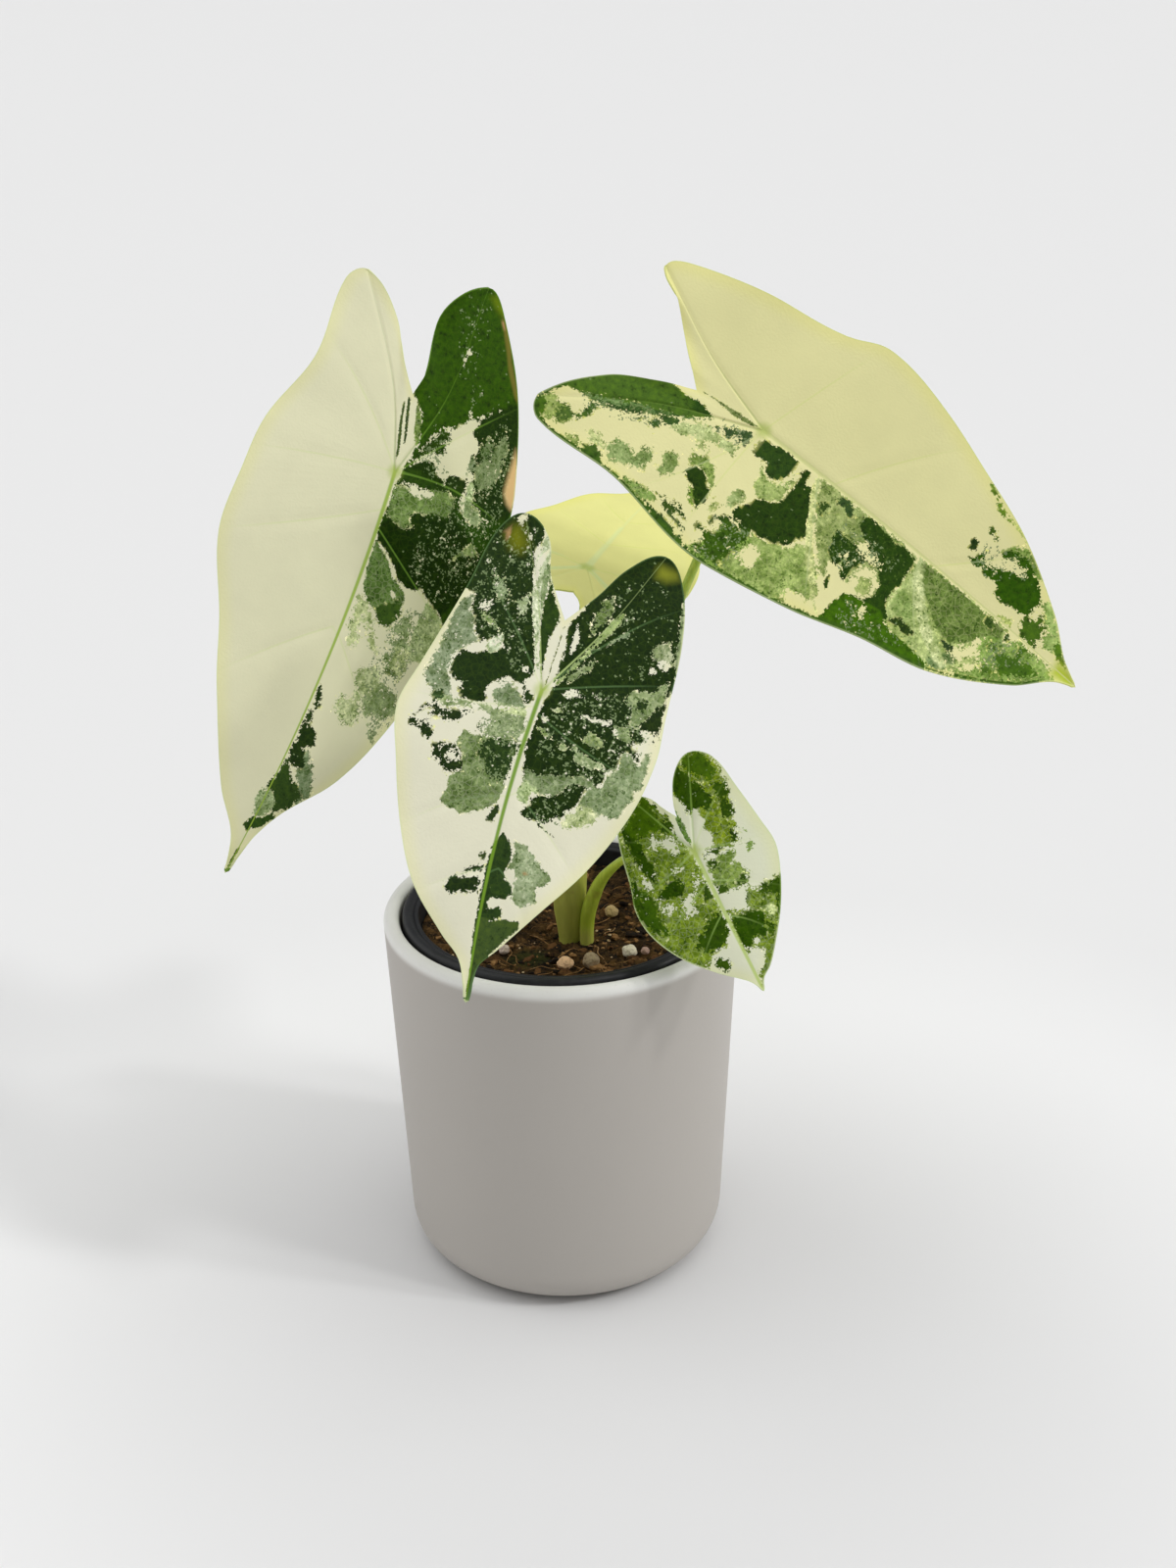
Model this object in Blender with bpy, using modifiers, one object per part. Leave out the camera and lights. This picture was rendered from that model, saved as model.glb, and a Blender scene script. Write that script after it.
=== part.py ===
"""Potted alocasia: a young variegated plant in a plastic nursery pot, inside a ceramic pot.

Metres, +Z up. The origin is the centre of the ceramic pot's flat base, which stands on Z = 0.
The upper faces of the leaves look towards -Y.
"""
import math
import random

import bmesh
import bpy
from mathutils import Matrix, Vector, noise
from mathutils.geometry import interpolate_bezier

# Fit between pieces that touch, and the seed of every random draw
GAP = 0.0003
SEED = 7
MERGE = 0.00002
SHARP_ANGLE = 50

# Ceramic pot
POT_HEIGHT = 0.143
POT_TOP_RADIUS = 0.068
POT_FOOT_RADIUS = 0.0618
POT_WALL = 0.006
POT_FLOOR = 0.008
POT_FOOT_ROUNDING = 0.016
POT_SIDES = 48

# Plastic nursery pot, standing on the ceramic pot's floor
TUB_WALL = 0.0012
TUB_RIM_RADIUS = 0.0607
TUB_RIM_WIDTH = 0.0064
TUB_RIM_SKIRT = 0.008
TUB_RIM_ROLL = 0.0022
TUB_RIM_BEAD = 0.0011
TUB_RIM_DROP = 0.0010
TUB_TOP = 0.1434
TUB_FOOT_RADIUS = 0.0450
TUB_FOOT_ROUNDING = 0.004
TUB_SIDES = 40
TUB_HOLES = 6
TUB_HOLE_RADIUS = 0.0035
TUB_HOLE_RING = 0.033
TUB_BOTTOM = POT_FLOOR + GAP

# Soil, higher at the nursery pot's wall than in its middle
SOIL_EDGE = 0.1352
SOIL_DISH = 0.0047
SOIL_RINGS = 6
SOIL_SIDES = 36
SOIL_RELIEF = 0.0016
SOIL_GRAIN = 0.014
CRUMBS = 34
CRUMB_SIZES = (0.0016, 0.0036)
CRUMB_SHAPE = (1.6, 0.9, 0.75)
CRUMB_TILT = 0.5

# Pumice pebbles: place on the soil, and radius
PEBBLES = [
    (-0.0214, -0.0160, 0.0021),
    (0.0016, -0.0275, 0.0036),
    (0.0256, -0.0190, 0.0032),
    (0.0111, -0.0260, 0.0034),
    (0.0314, -0.0198, 0.0017),
    (0.0195, 0.0160, 0.0030),
    (-0.0180, 0.0300, 0.0038),
    (-0.0380, 0.0050, 0.0032),
]
PEBBLE_SUNK = 0.35

# Crown, the stem base that the leaf stalks grow from: radius by height, from its foot up
CROWN_PLACE = Vector((0.0032, 0.0, 0.0))
CROWN_PROFILE = [
    (0.0028, 0.106), (0.0041, 0.110), (0.0044, 0.116), (0.0042, 0.131),
    (0.0047, 0.138), (0.0055, 0.148), (0.0063, 0.158),
]
CROWN_SIDES = 14
STALK_RING = 0.0037

# Leaf blades and stalks
BLADE = 0.0008
MIDRIB = 0.0022
STALK_SIDES_RESOLUTION = 2
STALK_POINTS = 15
STALK_BASE_RADIUS = 0.0023
STALK_END_RADIUS = 0.0017
STALK_STRAIGHT = 0.004

# Rows of faces in one half of a blade: along the lobe's rib, and along the midrib
LOBE_ROWS = 8
FRONT_ROWS = 13
COLUMNS = (0.0, 0.06, 0.30, 0.55, 0.80, 1.0)
TIP_CROWDING = 0.8

# Each leaf lies flat in (x, y), with the stalk's junction at (0, 0), the tip at +x and the upper face at +z.
# An outline half runs from the sinus round its lobe to the tip; lobe and shoulder index its points.
LEAVES = {
    "leaf_left": dict(
        junction=(-0.059, 0.045, 0.301), tip=(-0.123, -0.020, 0.168), face=(0.34, -0.90, 0.27),
        fold=-12, curl=1.2, arch=0.005, bow=0.003, ripple=0.0010,
        sinus=(-0.030, -0.0045),
        right=[(-0.040, -0.012), (-0.055, -0.020), (-0.067, -0.036), (-0.061, -0.042), (-0.028, -0.042),
               (0.000, -0.050), (0.020, -0.051), (0.046, -0.050), (0.075, -0.038), (0.098, -0.030),
               (0.132, -0.014), (0.147, -0.004)],
        right_lobe=3, right_shoulder=6,
        left=[(-0.040, -0.003), (-0.065, -0.005), (-0.081, 0.008), (-0.075, 0.018), (-0.048, 0.036),
              (-0.014, 0.050), (0.012, 0.052), (0.050, 0.047), (0.086, 0.037), (0.115, 0.025),
              (0.134, 0.010), (0.148, 0.003)],
        left_lobe=3, left_shoulder=6,
        stalk=[(-0.0012, 0.004, 0.178), (-0.008, 0.020, 0.204), (-0.017, 0.044, 0.234),
               (-0.033, 0.065, 0.264), (-0.055, 0.067, 0.290)]),
    "leaf_right": dict(
        junction=(0.074, 0.005, 0.324), tip=(0.183, -0.025, 0.238), face=(0.07, -0.91, 0.40),
        fold=10, curl=1.0, arch=0.006, bow=0.000, ripple=0.0010,
        sinus=(-0.027, -0.003),
        right=[(-0.040, -0.009), (-0.055, -0.018), (-0.069, -0.039), (-0.064, -0.046), (-0.030, -0.046),
               (0.000, -0.051), (0.014, -0.051), (0.045, -0.045), (0.070, -0.037), (0.096, -0.031),
               (0.123, -0.015), (0.134, -0.004)],
        right_lobe=3, right_shoulder=6,
        left=[(-0.038, 0.006), (-0.052, 0.018), (-0.063, 0.025), (-0.057, 0.031), (-0.030, 0.038),
              (0.002, 0.043), (0.017, 0.048), (0.046, 0.043), (0.072, 0.035), (0.096, 0.026),
              (0.120, 0.014), (0.133, 0.004)],
        left_lobe=3, left_shoulder=6,
        stalk=[(0.0125, 0.001, 0.182), (0.033, 0.005, 0.232), (0.0475, 0.010, 0.266),
               (0.0665, 0.020, 0.306)]),
    "leaf_front": dict(
        junction=(-0.004, -0.055, 0.251), tip=(-0.030, -0.110, 0.163), face=(0.07, -0.85, 0.52),
        fold=-4, curl=1.0, arch=0.004, bow=-0.003, ripple=0.0008,
        sinus=(-0.026, 0.002),
        right=[(-0.040, -0.006), (-0.054, -0.010), (-0.061, -0.020), (-0.053, -0.028), (-0.031, -0.033),
               (0.000, -0.042), (0.016, -0.046), (0.033, -0.042), (0.055, -0.035), (0.073, -0.0262),
               (0.087, -0.0132), (0.094, -0.0056)],
        right_lobe=3, right_shoulder=6,
        left=[(-0.036, 0.010), (-0.050, 0.019), (-0.058, 0.031), (-0.049, 0.039), (-0.028, 0.043),
              (0.000, 0.043), (0.014, 0.043), (0.033, 0.039), (0.055, 0.029), (0.075, 0.0152),
              (0.088, 0.006), (0.095, 0.001)],
        left_lobe=3, left_shoulder=6,
        stalk=[(0.0035, -0.006, 0.180), (0.001, -0.017, 0.222), (-0.003, -0.038, 0.244)]),
    "leaf_small": dict(
        junction=(0.048, -0.045, 0.186), tip=(0.071, -0.075, 0.146), face=(-0.12, -0.83, 0.55),
        fold=-4, curl=1.0, arch=0.002, bow=0.000, ripple=0.0004,
        sinus=(-0.014, 0.000),
        right=[(-0.019, -0.003), (-0.025, -0.006), (-0.028, -0.012), (-0.024, -0.019), (-0.014, -0.023),
               (0.002, -0.026), (0.010, -0.028), (0.020, -0.027), (0.032, -0.021), (0.042, -0.012),
               (0.048, -0.005), (0.051, -0.002)],
        right_lobe=3, right_shoulder=6,
        left=[(-0.019, 0.001), (-0.029, 0.006), (-0.034, 0.014), (-0.029, 0.021), (-0.014, 0.024),
              (0.000, 0.026), (0.010, 0.027), (0.020, 0.024), (0.032, 0.018), (0.042, 0.011),
              (0.048, 0.006), (0.051, 0.002)],
        left_lobe=3, left_shoulder=6,
        stalk=[(0.0100, -0.0042, 0.1390), (0.0130, -0.0060, 0.1508), (0.0172, -0.0102, 0.1605),
               (0.0260, -0.0205, 0.1725), (0.0400, -0.0340, 0.1805)]),
    "leaf_yellow": dict(
        junction=(0.012, 0.030, 0.268), tip=(0.043, 0.126, 0.272), face=(0.24, -0.12, 0.96),
        fold=-3, curl=0.2, arch=0.0015, bow=0.000, ripple=0.0008,
        sinus=(-0.022, -0.002),
        right=[(-0.029, -0.007), (-0.039, -0.013), (-0.044, -0.022), (-0.038, -0.029), (-0.022, -0.031),
               (0.000, -0.036), (0.010, -0.038), (0.032, -0.036), (0.052, -0.029), (0.072, -0.019),
               (0.087, -0.008), (0.093, -0.003)],
        right_lobe=3, right_shoulder=6,
        left=[(-0.029, 0.007), (-0.038, 0.013), (-0.042, 0.022), (-0.036, 0.029), (-0.022, 0.031),
              (0.000, 0.035), (0.010, 0.037), (0.032, 0.035), (0.052, 0.028), (0.072, 0.018),
              (0.087, 0.008), (0.093, 0.003)],
        left_lobe=3, left_shoulder=6,
        stalk=[(0.0045, 0.0060, 0.182), (0.0072, 0.0145, 0.222), (0.0105, 0.0270, 0.254)]),
}
SMALL_STALK_FOOT = Vector((0.0098, -0.0040, 0.1180))
SMALL_STALK_BASE_RADIUS = 0.0027
SMALL_STALK_END_RADIUS = 0.0013
STALK_NAMES = {name: name.replace("leaf", "stalk") for name in LEAVES}

# Where each stalk stands on the crown's top: direction from its middle, in degrees
STALK_ANGLES = {"leaf_left": 180, "leaf_right": 0, "leaf_front": 270, "leaf_yellow": 90}


def clear_scene():
    """Remove the objects that a new file starts with."""
    for thing in list(bpy.data.objects):
        bpy.data.objects.remove(thing, do_unlink=True)


def new_collection(name):
    group = bpy.data.collections.new(name)
    bpy.context.scene.collection.children.link(group)
    return group


def material(name, colour, roughness, metallic=0.0):
    """A Principled material in one plain colour."""
    finish = bpy.data.materials.new(name)
    finish.use_nodes = True
    shader = finish.node_tree.nodes["Principled BSDF"]
    shader.inputs["Base Color"].default_value = (*colour, 1.0)
    shader.inputs["Roughness"].default_value = roughness
    shader.inputs["Metallic"].default_value = metallic
    finish.diffuse_color = (*colour, 1.0)
    return finish


def add_object(name, data, group, finish=None):
    thing = bpy.data.objects.new(name, data)
    group.objects.link(thing)
    if finish:
        data.materials.append(finish)
    return thing


def mesh_from(form, name):
    """Turn a bmesh into a mesh and free it."""
    mesh = bpy.data.meshes.new(name)
    form.to_mesh(mesh)
    form.free()
    return mesh


def make_cutter(thing):
    thing.hide_render = True
    thing.display_type = "WIRE"
    return thing


def settle(thing):
    """Replace an object's mesh by its evaluated one, and drop its modifiers."""
    depsgraph = bpy.context.evaluated_depsgraph_get()
    mesh = bpy.data.meshes.new_from_object(thing.evaluated_get(depsgraph))
    thing.modifiers.clear()
    thing.data = mesh


def boolean(thing, group, operation):
    """Join or cut a thing with every object of a collection, then remove those objects."""
    step = thing.modifiers.new(operation.title(), "BOOLEAN")
    step.operation = operation
    step.operand_type = "COLLECTION"
    step.collection = group
    step.solver = "EXACT"
    settle(thing)
    for tool in list(group.objects):
        bpy.data.objects.remove(tool, do_unlink=True)


def arc(centre, radius, start, end, count):
    """Points (r, z) along an arc of a turned profile, angles in degrees."""
    steps = [math.radians(start + (end - start) * i / count) for i in range(count + 1)]
    return [(centre[0] + radius * math.cos(a), centre[1] + radius * math.sin(a)) for a in steps]


def turned(name, profile, sides, group, finish):
    """A solid of revolution: its profile goes up the inside and down the outside."""
    form = bmesh.new()
    corners = [form.verts.new((r, 0.0, z)) for r, z in profile]
    for first, second in zip(corners, corners[1:]):
        form.edges.new((first, second))
    thing = add_object(name, mesh_from(form, name), group, finish)
    screw = thing.modifiers.new("Turn", "SCREW")
    screw.axis = "Z"
    screw.angle = math.tau
    screw.steps = sides
    screw.render_steps = sides
    screw.use_merge_vertices = True
    screw.merge_threshold = MERGE
    return thing


def smooth_shading(thing):
    """Shade a finished mesh smooth, apart from its sharp edges."""
    settle(thing)
    thing.data.shade_smooth()
    thing.data.set_sharp_from_angle(angle=math.radians(SHARP_ANGLE))


def pot_outer_radius(z):
    return POT_FOOT_RADIUS + (POT_TOP_RADIUS - POT_FOOT_RADIUS) * z / POT_HEIGHT


def ceramic_pot(group, finish):
    """Thick tapered wall with a half-round lip, a rounded foot edge and a flat base."""
    lip = POT_WALL / 2
    lip_height = POT_HEIGHT - lip
    inner_foot = pot_outer_radius(POT_FLOOR) - POT_WALL
    inner_rounding = POT_FOOT_ROUNDING / 2
    foot = POT_FOOT_ROUNDING
    profile = [(0.0, POT_FLOOR)]
    profile += arc((inner_foot - inner_rounding, POT_FLOOR + inner_rounding), inner_rounding, 270, 360, 3)
    profile += arc((pot_outer_radius(lip_height) - lip, lip_height), lip, 180, 0, 6)
    profile += arc((pot_outer_radius(foot) - foot, foot), foot, 0, -90, 5)
    profile += [(0.0, 0.0)]
    pot = turned("cachepot", profile, POT_SIDES, group, finish)
    smooth_shading(pot)


def tub_inner_radius(z):
    """Inside radius of the nursery pot's tapered wall at a height."""
    inner_top = TUB_RIM_RADIUS - TUB_RIM_WIDTH
    rise = (z - TUB_BOTTOM) / (TUB_TOP - TUB_BOTTOM)
    return TUB_FOOT_RADIUS - TUB_WALL + (inner_top - TUB_FOOT_RADIUS + TUB_WALL) * rise


def nursery_pot(group, cutters, finish):
    """Thin tapered wall, a double rolled rim with a skirt, and drainage holes in the floor."""
    floor = TUB_BOTTOM + TUB_WALL
    rounding = TUB_FOOT_ROUNDING
    skirt_bottom = TUB_TOP - TUB_RIM_SKIRT
    bead = (TUB_RIM_RADIUS - TUB_RIM_WIDTH + TUB_RIM_BEAD, TUB_TOP - TUB_RIM_DROP - TUB_RIM_BEAD)
    roll = (TUB_RIM_RADIUS - TUB_RIM_ROLL, TUB_TOP - TUB_RIM_ROLL)
    ledge = roll[1] - TUB_RIM_ROLL
    wall_top = tub_inner_radius(ledge) + TUB_WALL
    profile = [(0.0, floor)]
    profile += arc((tub_inner_radius(floor) - rounding, floor + rounding), rounding, 270, 360, 2)
    profile += arc(bead, TUB_RIM_BEAD, 180, 30, 3)
    profile += arc(roll, TUB_RIM_ROLL, 150, 0, 4)
    skirt_inside = TUB_RIM_RADIUS - TUB_WALL
    profile += [(TUB_RIM_RADIUS, skirt_bottom), (skirt_inside, skirt_bottom)]
    profile += [(skirt_inside, ledge + TUB_RIM_BEAD), (wall_top + TUB_RIM_BEAD, ledge + TUB_RIM_BEAD)]
    profile += [(wall_top, ledge)]
    profile += arc((TUB_FOOT_RADIUS - rounding, TUB_BOTTOM + rounding), rounding, 0, -90, 2)
    profile += [(0.0, TUB_BOTTOM)]
    tub = turned("nursery_pot", profile, TUB_SIDES, group, finish)
    for number in range(TUB_HOLES):
        turn = math.tau * number / TUB_HOLES
        place = (TUB_HOLE_RING * math.cos(turn), TUB_HOLE_RING * math.sin(turn), TUB_BOTTOM)
        form = bmesh.new()
        bmesh.ops.create_cone(form, cap_ends=True, segments=10, radius1=TUB_HOLE_RADIUS,
                              radius2=TUB_HOLE_RADIUS, depth=6 * TUB_WALL,
                              matrix=Matrix.Translation(place))
        make_cutter(add_object(f"drain_cutter_{number + 1}", mesh_from(form, "drain"), cutters))
    boolean(tub, cutters, "DIFFERENCE")
    smooth_shading(tub)


def soil_height(x, y):
    """Top of the soil: a shallow dish with hollows and lumps that die out at the nursery pot's wall."""
    reach = math.hypot(x, y) / tub_inner_radius(SOIL_EDGE)
    place = Vector((x, y, 0.0)) / SOIL_GRAIN
    lumps = noise.noise(place) + 0.6 * noise.noise(2.7 * place + Vector((0, 0, 20)))
    return SOIL_EDGE - SOIL_DISH * (1.0 - reach ** 2) + SOIL_RELIEF * lumps * (1.0 - 0.7 * reach ** 4)


def soil_body(group, finish):
    """A plug that fills the nursery pot to just under its rim, with an uneven top."""
    bottom = TUB_BOTTOM + TUB_WALL + GAP
    foot_radius = tub_inner_radius(bottom) - TUB_FOOT_ROUNDING
    top_radius = tub_inner_radius(SOIL_EDGE)
    form = bmesh.new()
    bmesh.ops.create_cone(form, cap_ends=True, segments=SOIL_SIDES, radius1=foot_radius,
                          radius2=top_radius - 2 * GAP, depth=SOIL_EDGE - bottom,
                          matrix=Matrix.Translation((0, 0, (SOIL_EDGE + bottom) / 2)))
    top = max(form.faces, key=lambda face: face.calc_center_median().z)
    for _ in range(SOIL_RINGS):
        ring_width = top_radius / (SOIL_RINGS + 1)
        bmesh.ops.inset_region(form, faces=[top], thickness=ring_width, use_even_offset=False)
    bmesh.ops.poke(form, faces=[top])
    for vert in form.verts:
        if vert.co.z > SOIL_EDGE - GAP:
            vert.co.z = soil_height(vert.co.x, vert.co.y)
    bmesh.ops.triangulate(form, faces=form.faces[:])
    return add_object("soil", mesh_from(form, "soil"), group, finish)


def drop_scraps(thing):
    """Keep only the largest of the bodies that joining and cutting left in a mesh."""
    form = bmesh.new()
    form.from_mesh(thing.data)
    bodies = []
    left = set(form.verts)
    while left:
        body = {left.pop()}
        edge = list(body)
        while edge:
            vert = edge.pop()
            near = {link.other_vert(vert) for link in vert.link_edges} - body
            body |= near
            edge += near
        left -= body
        bodies.append(body)
    bodies.sort(key=len)
    for scrap in bodies[:-1]:
        bmesh.ops.delete(form, geom=list(scrap), context="VERTS")
    form.to_mesh(thing.data)
    form.free()


def lump(name, place, radii, turn, rough, detail, seed):
    """A rough round grain: an icosphere stretched to its radii and dented by noise."""
    form = bmesh.new()
    bmesh.ops.create_icosphere(form, subdivisions=detail, radius=1.0)
    for vert in form.verts:
        vert.co *= 1.0 + rough * noise.noise(vert.co * 1.3 + Vector((seed, 0.5, 0.25)))
    frame = Matrix.Translation(place) @ turn @ Matrix.Diagonal((*radii, 1.0))
    bmesh.ops.transform(form, matrix=frame, verts=form.verts[:])
    return mesh_from(form, name)


def taken(x, y, margin):
    """Whether a place on the soil is too near the crown, the small stalk or a pebble."""
    stems = [(CROWN_PLACE.x, CROWN_PLACE.y, CROWN_PROFILE[-1][0]),
             (SMALL_STALK_FOOT.x, SMALL_STALK_FOOT.y, SMALL_STALK_BASE_RADIUS)]
    return any(math.hypot(x - px, y - py) < 1.25 * radius + margin for px, py, radius in stems + PEBBLES)


def soil_crumbs(soil, tools, draw):
    """Bits of bark and coir, sunk in the soil's top and joined to it."""
    reach = tub_inner_radius(SOIL_EDGE)
    made = 0
    while made < CRUMBS:
        size = draw.uniform(*CRUMB_SIZES)
        distance = reach * math.sqrt(draw.random())
        bearing = draw.uniform(0, math.tau)
        x = distance * math.cos(bearing)
        y = distance * math.sin(bearing)
        if distance > reach - 2.0 * size or taken(x, y, CRUMB_SHAPE[0] * size):
            continue
        radii = [share * size for share in CRUMB_SHAPE]
        heading = Matrix.Rotation(draw.uniform(0, math.tau), 4, "Z")
        tilt = Matrix.Rotation(draw.uniform(-CRUMB_TILT, CRUMB_TILT), 4, "Y")
        place = (x, y, soil_height(x, y) + 0.15 * size)
        add_object(f"crumb_{made}", lump("crumb", place, radii, heading @ tilt, 0.5, 1, made), tools)
        made += 1
    boolean(soil, tools, "UNION")


def pebbles(group, cutters, draw, finish):
    """Pumice pebbles half sunk in the soil, and the cutters of their sockets."""
    for number, (x, y, radius) in enumerate(PEBBLES, start=1):
        radii = (radius, radius * draw.uniform(0.8, 0.95), radius * draw.uniform(0.7, 0.85))
        turn = Matrix.Rotation(draw.uniform(0, math.tau), 4, "Z")
        place = (x, y, soil_height(x, y) + (1 - 2 * PEBBLE_SUNK) * radii[2])
        name = f"pumice_{number}"
        pebble = add_object(name, lump(name, place, radii, turn, 0.25, 2, number), group, finish)
        pebble.data.shade_smooth()
        room = [r + 1.5 * GAP for r in radii]
        make_cutter(add_object(f"{name}_socket", lump(name, place, room, turn, 0.25, 2, number), cutters))


def crown_profile(grow):
    """The crown's profile from its flat top down to its foot, grown by a clearance."""
    down = [(r + grow, z) for r, z in reversed(CROWN_PROFILE)]
    top = (0.0, CROWN_PROFILE[-1][1])
    foot = (0.0, CROWN_PROFILE[0][1] - grow)
    down[-1] = (down[-1][0], down[-1][1] - grow)
    return [top] + down + [foot]


def crown(group, finish):
    thing = turned("crown", crown_profile(0.0), CROWN_SIDES, group, finish)
    smooth_shading(thing)
    thing.location = CROWN_PLACE


def stem_cutters(cutters):
    """Plain holes in the soil for the crown and for the small leaf's stalk."""
    hole = turned("crown_hole", crown_profile(GAP), CROWN_SIDES, cutters, None)
    settle(hole)
    hole.location = CROWN_PLACE
    make_cutter(hole)
    depth = 2 * (SOIL_EDGE - SMALL_STALK_FOOT.z)
    radius = SMALL_STALK_BASE_RADIUS + 2 * GAP
    middle = SMALL_STALK_FOOT + Vector((0, 0, depth / 2 - GAP))
    form = bmesh.new()
    bmesh.ops.create_cone(form, cap_ends=True, segments=CROWN_SIDES, radius1=radius, radius2=radius,
                          depth=depth, matrix=Matrix.Translation(middle))
    make_cutter(add_object("small_stalk_hole", mesh_from(form, "small_stalk_hole"), cutters))


def smooth_line(knots, per_span=8):
    """A smooth line through knots: straight handles along each knot's neighbours, a third of a span long."""
    knots = [Vector(knot) for knot in knots]
    last = len(knots) - 1
    slopes = [(knots[min(i + 1, last)] - knots[max(i - 1, 0)]).normalized() for i in range(last + 1)]
    line = []
    for i in range(last):
        reach = (knots[i + 1] - knots[i]).length / 3
        span = interpolate_bezier(knots[i], knots[i] + slopes[i] * reach,
                                  knots[i + 1] - slopes[i + 1] * reach, knots[i + 1], per_span + 1)
        line += [Vector(point) for point in span[:-1]]
    return line + [knots[-1]]


def walk(line, count, crowding=1.0):
    """Points along a line at even shares of its length; crowding under 1 gathers them at the end."""
    lengths = [0.0]
    for first, second in zip(line, line[1:]):
        lengths.append(lengths[-1] + (second - first).length)
    points = []
    span = 0
    for step in range(count + 1):
        goal = lengths[-1] * (step / count) ** crowding
        while span < len(line) - 2 and lengths[span + 1] < goal:
            span += 1
        share = (goal - lengths[span]) / (lengths[span + 1] - lengths[span])
        points.append(line[span].lerp(line[span + 1], min(max(share, 0.0), 1.0)))
    return points


class Blade:
    """A leaf blade's frame in the plant, and the height of its surface over the flat leaf."""

    def __init__(self, leaf):
        self.leaf = leaf
        self.junction = Vector(leaf["junction"])
        chord = Vector(leaf["tip"]) - self.junction
        self.length = chord.length
        along = chord.normalized()
        face = Vector(leaf["face"])
        up = (face - face.dot(along) * along).normalized()
        self.frame = Matrix((along, up.cross(along), up)).transposed()

    def midrib_offset(self, x):
        share = min(max(x / self.length, 0.0), 1.0)
        return 4 * self.leaf["bow"] * share * (1 - share)

    def height(self, x, y):
        """Arch along the midrib, V fold about it, and the curl of the halves."""
        leaf = self.leaf
        share = min(max(x / self.length, 0.0), 1.0)
        arch = 4 * leaf["arch"] * (share * (1 - share) + min(x, 0.0) / self.length)
        across = y - self.midrib_offset(x)
        softness = 0.006
        fold = math.tan(math.radians(leaf["fold"])) * (math.hypot(across, softness) - softness)
        return arch + fold - leaf["curl"] * across ** 2

    def point(self, x, y, lift=0.0):
        return self.junction + self.frame @ Vector((x, y, self.height(x, y) + lift))

    def normal(self):
        """Direction of the upper face at the junction."""
        step = 0.002
        along = self.point(step, 0) - self.point(-step, 0)
        across = self.point(0, step) - self.point(0, -step)
        return along.cross(across).normalized()

    def half(self, side):
        """Rows of one half: each a rib's point, the margin's point and the ripple of its margin."""
        leaf = self.leaf
        per_span = 8
        knots = [leaf["sinus"]] + leaf[side] + [(self.length, 0.0)]
        line = smooth_line([(x, y, 0.0) for x, y in knots], per_span)
        lobe = leaf[side + "_lobe"] * per_span
        shoulder = leaf[side + "_shoulder"] * per_span
        inner = walk(line[:lobe + 1], LOBE_ROWS)
        outer = walk(line[lobe:shoulder + 1], LOBE_ROWS)
        front = walk(line[shoulder:], FRONT_ROWS, TIP_CROWDING)
        rib = [line[lobe] * (step / LOBE_ROWS) for step in range(LOBE_ROWS + 1)]
        midrib = []
        for step in range(FRONT_ROWS + 1):
            x = self.length * (step / FRONT_ROWS) ** TIP_CROWDING
            midrib.append(Vector((x, self.midrib_offset(x), 0.0)))
        feet = rib + rib[-2::-1] + midrib[1:]
        margin = inner + outer[1:] + front[1:]
        return list(zip(feet, margin))

    def mesh(self, name):
        """The upper face as an open sheet of triangles, with the midrib's points in a vertex group."""
        form = bmesh.new()
        found = {}
        ribs = set()

        def corner(flat, lift, on_rib):
            key = (round(flat.x, 6), round(flat.y, 6))
            if key not in found:
                found[key] = form.verts.new(self.point(flat.x, flat.y, lift))
            if on_rib:
                ribs.add(found[key])
            return found[key]

        for side in ("right", "left"):
            rows = []
            for number, (foot, margin) in enumerate(self.half(side)):
                wave = self.leaf["ripple"] * math.sin(1.15 * number)
                ends = (0, len(self.half(side)) - 1)
                wave = 0.0 if number in ends else wave
                rows.append([corner(foot.lerp(margin, share), wave * share ** 2, share == 0.0 and foot.x >= 0)
                             for share in COLUMNS])
            for row, following in zip(rows, rows[1:]):
                for column in range(len(COLUMNS) - 1):
                    quad = [row[column], row[column + 1], following[column + 1], following[column]]
                    for trio in (quad[:3], [quad[0], quad[2], quad[3]]):
                        if len(set(trio)) == 3:
                            form.faces.new(trio if side == "right" else trio[::-1])
        form.verts.index_update()
        numbers = [vert.index for vert in ribs]
        return mesh_from(form, name), numbers


def leaf_blade(name, group, finish):
    """The sheet of the upper face, thickened downwards, most along the midrib."""
    blade = Blade(LEAVES[name])
    mesh, ribs = blade.mesh(name)
    thing = add_object(name, mesh, group, finish)
    thing.vertex_groups.new(name="midrib").add(ribs, 1.0, "REPLACE")
    shell = thing.modifiers.new("Thickness", "SOLIDIFY")
    shell.thickness = MIDRIB
    shell.offset = -1.0
    shell.vertex_group = "midrib"
    shell.thickness_vertex_group = BLADE / MIDRIB
    smooth_shading(thing)


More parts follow.
